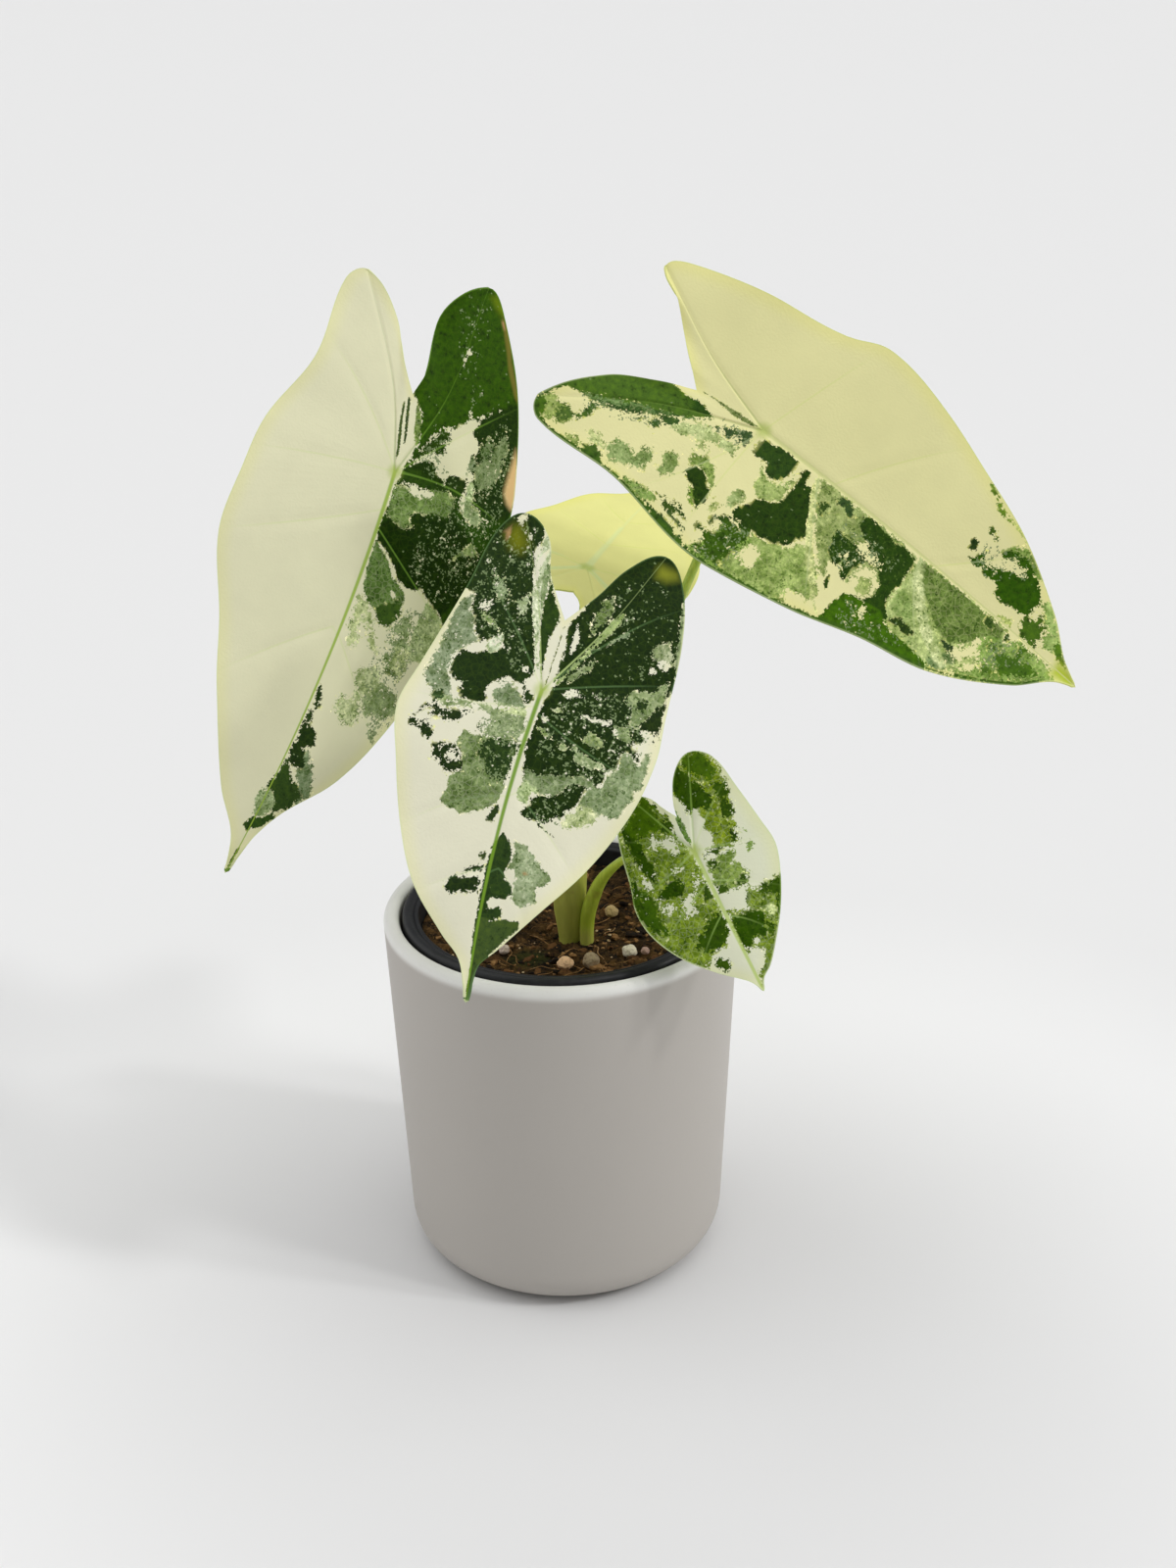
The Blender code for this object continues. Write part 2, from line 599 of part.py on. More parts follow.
def leaf_stalk(name, group, finish):
    """A tapered stalk from the crown's top, or from the soil, to the underside of its blade."""
    leaf = LEAVES[name]
    blade = Blade(leaf)
    below = -blade.normal()
    end = blade.junction + below * (MIDRIB + GAP)
    if name in STALK_ANGLES:
        turn = math.radians(STALK_ANGLES[name])
        top = CROWN_PROFILE[-1][1] + GAP
        foot = CROWN_PLACE + Vector((STALK_RING * math.cos(turn), STALK_RING * math.sin(turn), top))
        base_radius, end_radius = STALK_BASE_RADIUS, STALK_END_RADIUS
    else:
        foot = SMALL_STALK_FOOT
        base_radius, end_radius = SMALL_STALK_BASE_RADIUS, SMALL_STALK_END_RADIUS
    straight = Vector((0, 0, STALK_STRAIGHT))
    knots = [foot, foot + straight] + leaf["stalk"] + [end + below * STALK_STRAIGHT, end]
    per_span = 8
    bent = smooth_line(knots, per_span)[per_span:-per_span]
    points = [foot] + walk(bent, STALK_POINTS - 3) + [end]
    data = bpy.data.curves.new(STALK_NAMES[name], "CURVE")
    data.dimensions = "3D"
    data.bevel_depth = base_radius
    data.bevel_resolution = STALK_SIDES_RESOLUTION
    data.use_fill_caps = True
    spline = data.splines.new("POLY")
    spline.points.add(len(points) - 1)
    for step, (knot, point) in enumerate(zip(spline.points, points)):
        share = step / (len(points) - 1)
        knot.co = (*point, 1.0)
        knot.radius = 1.0 + (end_radius / base_radius - 1.0) * min(1.6 * share, 1.0)
    return add_object(STALK_NAMES[name], data, group, finish)


def main():
    clear_scene()
    draw = random.Random(SEED)
    plant = new_collection("potted_alocasia")
    cutters = new_collection("cutters")
    crumb_tools = new_collection("crumbs")
    ceramic = material("warm_grey_ceramic", (0.44, 0.41, 0.37), 0.6)
    plastic = material("charcoal_plastic", (0.02, 0.022, 0.025), 0.45)
    earth = material("coir_soil", (0.07, 0.04, 0.025), 0.95)
    pumice = material("cream_pumice", (0.6, 0.5, 0.36), 0.9)
    stem = material("stalk_green", (0.28, 0.42, 0.06), 0.5)
    blade_finishes = {
        "leaf_left": material("cream_and_green_leaf", (0.55, 0.56, 0.38), 0.6),
        "leaf_right": material("yellow_and_green_leaf", (0.55, 0.55, 0.28), 0.6),
        "leaf_front": material("marbled_leaf", (0.25, 0.33, 0.2), 0.6),
        "leaf_small": material("light_marbled_leaf", (0.25, 0.38, 0.12), 0.6),
        "leaf_yellow": material("yellow_leaf", (0.8, 0.76, 0.22), 0.6),
    }
    ceramic_pot(plant, ceramic)
    nursery_pot(plant, cutters, plastic)
    soil = soil_body(plant, earth)
    soil_crumbs(soil, crumb_tools, draw)
    pebbles(plant, cutters, draw, pumice)
    stem_cutters(cutters)
    boolean(soil, cutters, "DIFFERENCE")
    drop_scraps(soil)
    crown(plant, stem)
    for name in LEAVES:
        leaf_stalk(name, plant, stem)
        leaf_blade(name, plant, blade_finishes[name])
    bpy.data.collections.remove(crumb_tools)
    bpy.data.collections.remove(cutters)


main()
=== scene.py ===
"""The looks of a potted alocasia: pot, nursery pot, soil, stalks and variegated leaves, in metres."""
import math
import random

import bpy
import numpy as np
from mathutils import Matrix, Vector, noise
from mathutils.geometry import interpolate_bezier


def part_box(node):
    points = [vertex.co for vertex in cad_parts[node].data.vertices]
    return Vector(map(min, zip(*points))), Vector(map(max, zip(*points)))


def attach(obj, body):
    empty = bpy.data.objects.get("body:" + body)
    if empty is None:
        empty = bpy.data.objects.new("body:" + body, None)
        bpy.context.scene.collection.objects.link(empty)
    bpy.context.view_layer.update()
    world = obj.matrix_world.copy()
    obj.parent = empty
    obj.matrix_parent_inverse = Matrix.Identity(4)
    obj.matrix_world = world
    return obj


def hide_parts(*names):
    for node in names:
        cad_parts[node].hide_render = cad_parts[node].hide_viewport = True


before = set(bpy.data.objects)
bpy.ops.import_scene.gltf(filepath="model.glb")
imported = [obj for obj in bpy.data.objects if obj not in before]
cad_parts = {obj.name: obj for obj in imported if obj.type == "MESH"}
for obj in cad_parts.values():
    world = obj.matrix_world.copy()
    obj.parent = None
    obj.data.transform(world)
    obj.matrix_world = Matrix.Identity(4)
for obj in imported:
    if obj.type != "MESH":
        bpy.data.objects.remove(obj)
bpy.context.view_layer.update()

# CERAMIC POT
# One thick-walled piece of matte off-white ceramic, cast and fired. It has a slight taper, a soft
# half-round lip painted lighter as a highlight where it catches the light from above, and a rounded edge
# round its flat foot. It stands by itself.


def drop_selection():
    """Leave edit mode and let go of everything."""
    if bpy.context.object and bpy.context.object.mode == "EDIT":
        bpy.ops.object.mode_set(mode="OBJECT")
    bpy.ops.object.select_all(action="DESELECT")


def arc(centre, radius, start, end, count):
    """Points (r, z) along an arc of a turned profile, angles in degrees."""
    steps = [math.radians(start + (end - start) * i / count) for i in range(count + 1)]
    return [(centre[0] + radius * math.cos(a), centre[1] + radius * math.sin(a)) for a in steps]


def thrown(name, profile, sides):
    """A hollow turned piece: each ring of its profile (r, z) is extruded from the last one and widened."""
    drop_selection()
    radius, height = profile[0]
    bpy.ops.mesh.primitive_circle_add(vertices=sides, radius=radius, fill_type="NGON",
                                      location=(0, 0, height))
    piece = bpy.context.object
    piece.name = name
    bpy.ops.object.mode_set(mode="EDIT")
    bpy.ops.mesh.select_all(action="SELECT")
    first_lift = 0.00001
    bpy.ops.mesh.extrude_region_move(TRANSFORM_OT_translate={"value": (0, 0, first_lift)})
    for wider, higher in profile[1:]:
        bpy.ops.mesh.extrude_region_move(TRANSFORM_OT_translate={"value": (0, 0, higher - height)})
        bpy.ops.transform.resize(value=(wider / radius, wider / radius, 1), center_override=(0, 0, higher))
        radius, height = wider, higher
    bpy.ops.mesh.select_all(action="SELECT")
    bpy.ops.mesh.normals_make_consistent(inside=False)
    bpy.ops.object.mode_set(mode="OBJECT")
    return piece


class Finish:
    """A Principled material in the making: each call adds a node and gives back what comes out of it."""

    def __init__(self, name, roughness, **values):
        self.material = bpy.data.materials.new(name)
        self.material.use_nodes = True
        self.tree = self.material.node_tree
        self.shader = self.tree.nodes["Principled BSDF"]
        self.plug(self.shader.inputs["Roughness"], roughness)
        for socket, value in values.items():
            self.plug(self.shader.inputs[socket.replace("_", " ").title()], value)

    def plug(self, socket, value):
        """Link a socket to another node's output, or set its value."""
        if isinstance(value, bpy.types.NodeSocket):
            self.tree.links.new(value, socket)
        elif socket.type == "RGBA":
            socket.default_value = (*value[:3], 1.0)
        else:
            socket.default_value = value

    def node(self, kind, inputs, output=0, **settings):
        """Add a shader node: inputs by socket name or number, other settings as its properties."""
        made = self.tree.nodes.new("ShaderNode" + kind)
        for setting, value in settings.items():
            setattr(made, setting, value)
        for socket, value in inputs.items():
            self.plug(made.inputs[socket], value)
        return made.outputs[output]

    def gloss(self, level):
        """Strength of the reflections, where 0.5 is a usual surface."""
        self.shader.inputs["Specular IOR Level"].default_value = level

    def place(self):
        """Where a point lies in the plant, in metres."""
        return self.node("TexCoord", {}, "Object")

    def attribute(self, name, output="Fac"):
        """What was written to the piece's points under a name."""
        return self.node("Attribute", {}, output, attribute_name=name)

    def maths(self, operation, *values):
        """A sum, product or the like of values."""
        return self.node("Math", dict(enumerate(values)), operation=operation)

    def between(self, value, low, high, out_low=0.0, out_high=1.0):
        """A smooth ramp from out_low at low to out_high at high."""
        inputs = {"Value": value, "From Min": low, "From Max": high, "To Min": out_low, "To Max": out_high}
        return self.node("MapRange", inputs, interpolation_type="SMOOTHSTEP")

    def distance(self, spot):
        """Distance from a spot in the plant, in metres."""
        return self.node("VectorMath", {0: self.place(), 1: spot}, 1, operation="DISTANCE")

    def mix(self, share, low, high):
        """The colour low where share is 0, and high where it is 1."""
        made = self.tree.nodes.new("ShaderNodeMix")
        made.data_type = "RGBA"
        for socket, value in ((0, share), (6, low), (7, high)):
            self.plug(made.inputs[socket], value)
        return made.outputs[2]

    def noise(self, place, size, detail=2.0, roughness=0.5):
        """Soft noise whose lumps are about size across, in metres."""
        inputs = {"Vector": place, "Scale": 1 / size, "Detail": detail, "Roughness": roughness}
        return self.node("TexNoise", inputs)

    def cells(self, place, size, output="Color", feature="F1"):
        """Voronoi cells about size across: a colour each, or the distance to their middles or edges."""
        return self.node("TexVoronoi", {"Vector": place, "Scale": 1 / size}, output, feature=feature)

    def colour(self, value):
        """The colour that the surface shows."""
        self.plug(self.shader.inputs["Base Color"], value)

    def bump(self, height, depth):
        """Relief of a depth in metres where height goes from 0 to 1."""
        inputs = {"Height": height, "Distance": depth}
        self.plug(self.shader.inputs["Normal"], self.node("Bump", inputs))


def stands_for(piece, node):
    """Hang a piece on the root body and hide the node of the model that it stands for."""
    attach(piece, "root")
    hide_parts(node)


def finished(piece, finish, node):
    """Give a piece its one material, hang it on the root body and hide the node it stands for."""
    piece.data.materials.clear()
    piece.data.materials.append(finish.material)
    stands_for(piece, node)


def round_off(piece, angle):
    """Smooth shading, with an edge kept where faces meet at more than the angle in degrees."""
    drop_selection()
    piece.select_set(True)
    bpy.context.view_layer.objects.active = piece
    bpy.ops.object.shade_smooth_by_angle(angle=math.radians(angle))


pot_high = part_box("cachepot")[1]
pot_height = pot_high.z
pot_top_radius = pot_high.x
pot_wall = 0.006
pot_floor = 0.008
pot_foot_rounding = 0.016
pot_foot_radius = 0.0618
outer_ring_heights = range(24, 136, 8)       # in millimetres
inner_ring_heights = range(128, 16, -16)
glaze_tone = (0.475, 0.446, 0.408)
lip_highlight_tone = (0.85, 0.85, 0.81)
cloud_tone = (0.44, 0.41, 0.37)
grain_tone = (0.40, 0.37, 0.33)


def pot_outside(z):
    """Outer radius of the pot's tapered wall at a height."""
    return pot_foot_radius + (pot_top_radius - pot_foot_radius) * z / pot_height


lip = pot_wall / 2
lip_height = pot_height - lip
inner_rounding = pot_foot_rounding / 2
foot_disc = pot_outside(pot_foot_rounding) - pot_foot_rounding
pot_profile = [(foot_disc - 0.001, 0.0)]
pot_profile += arc((foot_disc, pot_foot_rounding), pot_foot_rounding, -90, 0, 16)
pot_profile += [(pot_outside(z / 1000), z / 1000) for z in outer_ring_heights]
pot_profile += arc((pot_outside(lip_height) - lip, lip_height), lip, 0, 180, 20)
pot_profile += [(pot_outside(z / 1000) - pot_wall, z / 1000) for z in inner_ring_heights]
pot_inner_foot = pot_outside(pot_floor) - pot_wall
pot_corner = (pot_inner_foot - inner_rounding, pot_floor + inner_rounding)
pot_profile += arc(pot_corner, inner_rounding, 360, 270, 10)
ceramic_pot = thrown("ceramic_pot", pot_profile, 160)
round_off(ceramic_pot, 40)

ceramic = Finish("matte_ceramic", 0.52)
pot_level = ceramic.node("SeparateXYZ", {0: ceramic.place()}, "Z")
# painted highlight: the top of the lip is coloured lighter than the body, standing in for the light it
# catches
rim = ceramic.between(pot_level, pot_height - 0.0055, pot_height - 0.0018)
glaze_with_highlight = ceramic.mix(rim, glaze_tone, lip_highlight_tone)
cloud = ceramic.noise(ceramic.place(), 0.035, 3)
glaze_with_highlight = ceramic.mix(ceramic.between(cloud, 0.35, 0.7, 0.0, 0.10), glaze_with_highlight, cloud_tone)
grain = ceramic.noise(ceramic.place(), 0.0011, 3, 0.6)
ceramic.colour(ceramic.mix(ceramic.between(grain, 0.62, 0.72, 0.0, 0.16), glaze_with_highlight, grain_tone))
ceramic.bump(grain, 0.00005)
finished(ceramic_pot, ceramic, "cachepot")

# NURSERY POT
# A thin pot of blown charcoal plastic with a double rolled rim, a skirt under it and drainage holes in its
# floor. It is dropped into the ceramic pot and stands on the floor of it, with a dark gap all round the
# rim.

tub_low, tub_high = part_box("nursery_pot")
tub_top = tub_high.z
tub_bottom = tub_low.z
tub_wall = 0.0012
rim_radius = tub_high.x
rim_width = 0.0064
rim_roll = 0.0022
rim_bead = 0.0011
rim_drop = 0.0010
rim_skirt = 0.008
tub_foot = 0.045
tub_rounding = 0.004
drain_holes = 6
drain_radius = 0.0035
drain_ring = 0.033
plastic_dark = (0.011, 0.012, 0.014)
plastic_scuffed = (0.020, 0.021, 0.024)


def tub_inside(z):
    """Inner radius of the nursery pot's tapered wall at a height."""
    widening = rim_radius - rim_width - tub_foot + tub_wall
    return tub_foot - tub_wall + widening * (z - tub_bottom) / (tub_top - tub_bottom)


roll = (rim_radius - rim_roll, tub_top - rim_roll)
bead = (rim_radius - rim_width + rim_bead, tub_top - rim_drop - rim_bead)
ledge = roll[1] - rim_roll
tub_profile = [(tub_foot - tub_rounding - 0.001, tub_bottom)]
tub_profile += arc((tub_foot - tub_rounding, tub_bottom + tub_rounding), tub_rounding, -90, 0, 8)
tub_profile += [(tub_inside(ledge) + tub_wall, ledge), (rim_radius - tub_wall, ledge + rim_bead)]
tub_profile += [(rim_radius - tub_wall, tub_top - rim_skirt), (rim_radius, tub_top - rim_skirt)]
tub_profile += arc(roll, rim_roll, 0, 150, 14)
tub_profile += arc(bead, rim_bead, 40, 180, 10)
tub_floor = tub_bottom + tub_wall
tub_corner = (tub_inside(tub_floor) - tub_rounding, tub_floor + tub_rounding)
tub_profile += arc(tub_corner, tub_rounding, 360, 270, 6)
nursery_pot = thrown("nursery_pot_shell", tub_profile, 128)
for number in range(drain_holes):
    turn = math.tau * number / drain_holes
    spot = (drain_ring * math.cos(turn), drain_ring * math.sin(turn), tub_bottom)
    drop_selection()
    bpy.ops.mesh.primitive_cylinder_add(vertices=24, radius=drain_radius, depth=6 * tub_wall, location=spot)
    drill = bpy.context.object
    cut = nursery_pot.modifiers.new("Drain", "BOOLEAN")
    cut.operation = "DIFFERENCE"
    cut.object = drill
    bpy.context.view_layer.objects.active = nursery_pot
    bpy.ops.object.modifier_apply(modifier=cut.name)
    bpy.data.objects.remove(drill, do_unlink=True)
round_off(nursery_pot, 35)

plastic = Finish("charcoal_plastic", 0.42)
plastic.gloss(0.35)
scuff = plastic.noise(plastic.place(), 0.004, 4, 0.65)
plastic.colour(plastic.mix(plastic.between(scuff, 0.4, 0.7), plastic_dark, plastic_scuffed))
plastic.plug(plastic.shader.inputs["Roughness"], plastic.between(scuff, 0.3, 0.7, 0.36, 0.52))
plastic.bump(plastic.noise(plastic.place(), 0.0006, 2), 0.00003)
finished(nursery_pot, plastic, "nursery_pot")

# SOIL
# A loose mix of dark coir, bark chips and sandy grains that fills the nursery pot to 8 mm under its rim, a
# little lower in the middle. It is held by the pot alone, and the stems stand in it.

soil_edge = 0.1352
soil_dish = 0.0047
soil_relief = 0.0016
soil_grain = 0.014
soil_gap = 0.0004
soil_rings = 60
crumb_size = 0.0042
crumb_height = 0.0013
dip_radius = 0.0042
dip_depth = 0.0012
stem_spot = (0.0042, -0.0010)
hollow_radius = 0.011
hollow_depth = 0.0016
moss_spot = (-0.012, -0.021, 0.132)
coir_dark = (0.003, 0.002, 0.0015)
coir_brown = (0.135, 0.072, 0.022)
sand_tone = (0.30, 0.175, 0.070)
damp_tone = (0.010, 0.007, 0.004)
moss_tone = (0.035, 0.050, 0.010)


def soil_height(x, y):
    """Top of the soil, as the solid has it: a shallow dish with hollows and lumps."""
    reach = math.hypot(x, y) / tub_inside(soil_edge)
    place = Vector((x, y, 0.0)) / soil_grain
    lumps = noise.noise(place) + 0.6 * noise.noise(2.7 * place + Vector((0, 0, 20)))
    return soil_edge - soil_dish * (1.0 - reach ** 2) + soil_relief * lumps * (1.0 - 0.7 * reach ** 4)


pebble_spots = [sum(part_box(f"pumice_{number}"), Vector()) / 2 for number in range(1, 9)]


def soil_top(x, y):
    """The loose surface: crumbly, hollowed round the stems and a little lower round each pebble."""
    reach = math.hypot(x, y) / tub_inside(soil_edge)
    crumbs = noise.fractal(Vector((x, y, 0)) / crumb_size, 0.9, 2.1, 4) - 0.5
    hollow = hollow_depth * math.exp(-(math.hypot(x - stem_spot[0], y - stem_spot[1]) / hollow_radius) ** 4)
    dip = sum(math.exp(-(math.hypot(x - spot.x, y - spot.y) / dip_radius) ** 2) for spot in pebble_spots)
    relief = (crumb_height * crumbs - dip_depth * min(dip, 1.0)) * (1 - reach ** 8)
    return soil_height(x, y) + relief - hollow


soil_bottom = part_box("soil")[0].z
soil_foot_radius = tub_inside(soil_bottom) - tub_rounding
soil_edge_radius = tub_inside(soil_edge) - soil_gap
drop_selection()
bpy.ops.mesh.primitive_circle_add(vertices=144, radius=soil_foot_radius, fill_type="NGON",
                                  location=(0, 0, soil_bottom))
soil = bpy.context.object
soil.name = "coir_soil"
bpy.ops.object.transform_apply(location=True, rotation=False, scale=False)
bpy.ops.object.mode_set(mode="EDIT")
bpy.ops.mesh.select_all(action="SELECT")
bpy.ops.mesh.extrude_region_move(TRANSFORM_OT_translate={"value": (0, 0, soil_edge - soil_bottom)})
widen = soil_edge_radius / soil_foot_radius
bpy.ops.transform.resize(value=(widen, widen, 1), center_override=(0, 0, soil_edge))
for ring in range(soil_rings):
    bpy.ops.mesh.inset(thickness=soil_edge_radius / (soil_rings + 1), use_even_offset=False)
bpy.ops.mesh.poke()
bpy.ops.mesh.select_all(action="SELECT")
bpy.ops.mesh.normals_make_consistent(inside=False)
bpy.ops.object.mode_set(mode="OBJECT")
for vert in soil.data.vertices:
    if vert.co.z > soil_edge - 0.001:
        vert.co.z = soil_top(vert.co.x, vert.co.y)
round_off(soil, 180)

earth = Finish("coir_and_bark", 0.95)
earth.gloss(0.15)
clods = earth.noise(earth.place(), 0.0040, 5, 0.75)
loam = earth.mix(earth.between(clods, 0.38, 0.60), coir_dark, coir_brown)
sand = earth.noise(earth.place(), 0.0011, 3, 0.7)
loam = earth.mix(earth.between(sand, 0.56, 0.66, 0.0, 0.8), loam, sand_tone)
damp = earth.noise(earth.place(), 0.016, 2)
loam = earth.mix(earth.between(damp, 0.35, 0.6, 0.65, 0.0), loam, damp_tone)
moss_share = earth.between(earth.distance(moss_spot), 0.004, 0.012, 1.0, 0.0)
mossy = earth.maths("MULTIPLY", moss_share, earth.between(clods, 0.36, 0.5))
earth.colour(earth.mix(earth.maths("MULTIPLY", mossy, 0.75), loam, moss_tone))
earth.bump(earth.noise(earth.place(), 0.0016, 6, 0.75), 0.0012)
finished(soil, earth, "soil")

# BARK, GRAINS AND FIBRES
# Chips of bark, sandy grains and threads of coir that lie loose on the soil or stick out of it. Each sort
# is one bit, copied, turned and sized by chance. The seeds make every run lay them the same way.

bed_radius = 0.0490
bed_edge = 0.0500
stems_middle = (0.0045, -0.0010)
stems_radius = 0.0095
bit_seed = 7
bit_tilt = 0.25
bit_twist = 0.3
bark_shape = (1.0, 0.52, 0.20)
fibre_knots = [(-0.5, 0, 0), (-0.2, 0.06, 0.05), (0.12, -0.05, 0.08), (0.36, 0.04, 0.03), (0.5, 0.1, 0.0)]
fibre_radius = 0.014
bark_dark = (0.010, 0.006, 0.003)
bark_brown = (0.150, 0.070, 0.022)
bark_tan = (0.38, 0.21, 0.080)
bark_pale = (0.78, 0.60, 0.36)


def smooth_line(knots, per_span=8):
    """A smooth line through knots: straight handles along each knot's neighbours, a third of a span long."""
    knots = [Vector(knot) for knot in knots]
    last = len(knots) - 1
    slopes = [(knots[min(i + 1, last)] - knots[max(i - 1, 0)]).normalized() for i in range(last + 1)]
    line = []
    for i in range(last):
        reach = (knots[i + 1] - knots[i]).length / 3
        span = interpolate_bezier(knots[i], knots[i] + slopes[i] * reach,
                                  knots[i + 1] - slopes[i + 1] * reach, knots[i + 1], per_span + 1)
        line += [Vector(point) for point in span[:-1]]
    return line + [knots[-1]]


def stem(name, points, radii, smoothness=6):
    """A round stem along points, as a bevelled curve made a mesh."""
    data = bpy.data.curves.new(name, "CURVE")
    data.dimensions = "3D"
    data.bevel_depth = 1.0
    data.bevel_resolution = smoothness
    data.use_fill_caps = True
    spline = data.splines.new("POLY")
    spline.points.add(len(points) - 1)
    for knot, point, radius in zip(spline.points, points, radii):
        knot.co = (*point, 1.0)
        knot.radius = radius
    piece = bpy.data.objects.new(name, data)
    bpy.context.scene.collection.objects.link(piece)
    drop_selection()
    piece.select_set(True)
    bpy.context.view_layer.objects.active = piece
    bpy.ops.object.convert(target="MESH")
    bpy.ops.object.mode_set(mode="EDIT")
    bpy.ops.mesh.select_all(action="SELECT")
    bpy.ops.mesh.remove_doubles(threshold=0.00001)
    bpy.ops.mesh.normals_make_consistent(inside=False)
    bpy.ops.object.mode_set(mode="OBJECT")
    round_off(piece, 60)
    return piece


def scattered(name, bit, count, sizes, shades, sunk, chance):
    """Copies of one bit laid on the soil by chance and joined, sunk by a share of their size."""
    copies = []
    while len(copies) < count:
        reach, bearing = bed_radius * math.sqrt(chance.random()), chance.uniform(0, math.tau)
        x, y = reach * math.cos(bearing), reach * math.sin(bearing)
        size = chance.uniform(*sizes)
        by_stems = math.hypot(x - stems_middle[0], y - stems_middle[1]) < stems_radius
        if by_stems or reach + 0.5 * size > bed_edge:
            continue
        turn = Matrix.Rotation(chance.uniform(0, math.tau), 4, "Z")
        turn = turn @ Matrix.Rotation(chance.gauss(0, bit_tilt), 4, "Y")
        twist = Matrix.Rotation(chance.gauss(0, bit_twist), 4, "X")
        place = Matrix.Translation((x, y, soil_top(x, y) - sunk * size))
        copy = bit.copy()
        copy.data = bit.data.copy()
        bpy.context.scene.collection.objects.link(copy)
        copy.data.transform(place @ turn @ twist @ Matrix.Scale(size, 4))
        own_shade = [chance.uniform(*shades)] * len(copy.data.vertices)
        copy.data.attributes.new("shade", "FLOAT", "POINT").data.foreach_set("value", own_shade)
        copies.append(copy)
    bpy.data.objects.remove(bit, do_unlink=True)
    drop_selection()
    for copy in copies:
        copy.select_set(True)
    bpy.context.view_layer.objects.active = copies[0]
    bpy.ops.object.join()
    piece = bpy.context.object
    piece.name = name
    return piece


drop_selection()
bpy.ops.mesh.primitive_cube_add(size=1.0, scale=bark_shape)
bark_bit = bpy.context.object
bpy.ops.object.transform_apply(scale=True)
bpy.ops.object.mode_set(mode="EDIT")
bpy.ops.mesh.select_all(action="SELECT")
bpy.ops.mesh.subdivide(number_cuts=3)
bpy.ops.object.mode_set(mode="OBJECT")
noise.seed_set(bit_seed)
for vert in bark_bit.data.vertices:
    vert.co.y *= 1 - abs(vert.co.x) ** 1.5
    vert.co += 0.14 * noise.noise_vector(vert.co * 2.6)
round_off(bark_bit, 45)
drop_selection()
bpy.ops.mesh.primitive_ico_sphere_add(subdivisions=2, radius=0.5)
grain_bit = bpy.context.object
for vert in grain_bit.data.vertices:
    vert.co = Vector((vert.co.x, 0.8 * vert.co.y, 0.7 * vert.co.z)) * (1 + 0.3 * noise.noise(vert.co * 2.2))
round_off(grain_bit, 60)
fibre_line = smooth_line(fibre_knots, 3)
fibre_bit = stem("fibre", fibre_line, [fibre_radius] * len(fibre_line), 1)

mulch = Finish("bark_and_coir", 0.9)
mulch.gloss(0.2)
fleck = mulch.between(mulch.noise(mulch.place(), 0.0012, 3, 0.7), 0.3, 0.7, -0.12, 0.12)
shade = mulch.maths("ADD", mulch.attribute("shade"), fleck)
bark = mulch.mix(mulch.between(shade, 0.05, 0.45), bark_dark, bark_brown)
bark = mulch.mix(mulch.between(shade, 0.45, 0.75), bark, bark_tan)
mulch.colour(mulch.mix(mulch.between(shade, 0.85, 0.98), bark, bark_pale))
mulch.bump(mulch.noise(mulch.place(), 0.0008, 4, 0.7), 0.0003)
chance = random.Random(bit_seed)
# name, bit, how many, sizes in metres, shades from dark to pale, how far sunk as a share of the size
for name, bit, count, sizes, shades, sunk in (
        ("bark_chips", bark_bit, 170, (0.0022, 0.0066), (0.0, 0.72), 0.02),
        ("sandy_grains", grain_bit, 210, (0.0007, 0.0019), (0.35, 1.0), 0.0),
        ("coir_fibres", fibre_bit, 60, (0.006, 0.015), (0.25, 0.85), -0.01)):
    bits = scattered(name, bit, count, sizes, shades, sunk, chance)
    finished(bits, mulch, "soil")

# PUMICE
# Rough rounded pebbles of pale volcanic stone, a few millimetres across, mixed into the soil and half sunk
# in it.

pebble_tones = [(0.92, 0.76, 0.64), (0.98, 0.64, 0.36), (0.95, 0.87, 0.66), (0.44, 0.34, 0.20),
                (0.58, 0.38, 0.30), (0.60, 0.44, 0.20), (0.86, 0.70, 0.48), (0.76, 0.66, 0.50)]
pebble_flattening = {2: 0.72}
dull_share = (0.42, 0.36, 0.30)

stone = Finish("cream_pumice", 0.88)
speck = stone.noise(stone.place(), 0.0014, 4, 0.7)
own = stone.attribute("tone", "Color")
dull = stone.node("VectorMath", {0: own, 1: dull_share}, operation="MULTIPLY")
stone.colour(stone.mix(stone.between(speck, 0.34, 0.50, 0.7, 0.0), own, dull))
stone.bump(stone.cells(stone.place(), 0.0006, "Distance"), 0.00025)
for number, pebble_tone in enumerate(pebble_tones, 1):
    node = f"pumice_{number}"
    low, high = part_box(node)
    middle, size = (low + high) / 2, (high - low) / 2
    size.z *= pebble_flattening.get(number, 1.0)
    drop_selection()
    bpy.ops.mesh.primitive_ico_sphere_add(subdivisions=5, radius=1.0, location=(0, 0, 0))
    pebble = bpy.context.object
    pebble.name = f"pebble_{number}"
    for vert in pebble.data.vertices:
        dent = 1 + 0.22 * noise.noise(vert.co * 1.3 + Vector((number, 0, 0)))
        dent += 0.05 * noise.noise(vert.co * 5)
        vert.co = middle + Vector([c * s * min(dent, 1.06) for c, s in zip(vert.co, size)])
    own_tone = [*pebble_tone, 1.0] * len(pebble.data.vertices)
    pebble.data.attributes.new("tone", "FLOAT_COLOR", "POINT").data.foreach_set("color", own_tone)
    round_off(pebble, 180)
    finished(pebble, stone, node)

# CROWN AND STALKS
# The crown is the short green stem base. Each leaf's stalk is a smooth juicy stem that grows out of it in a
# sheath, thins upwards and bends over to the underside of its blade, where it joins the midrib.

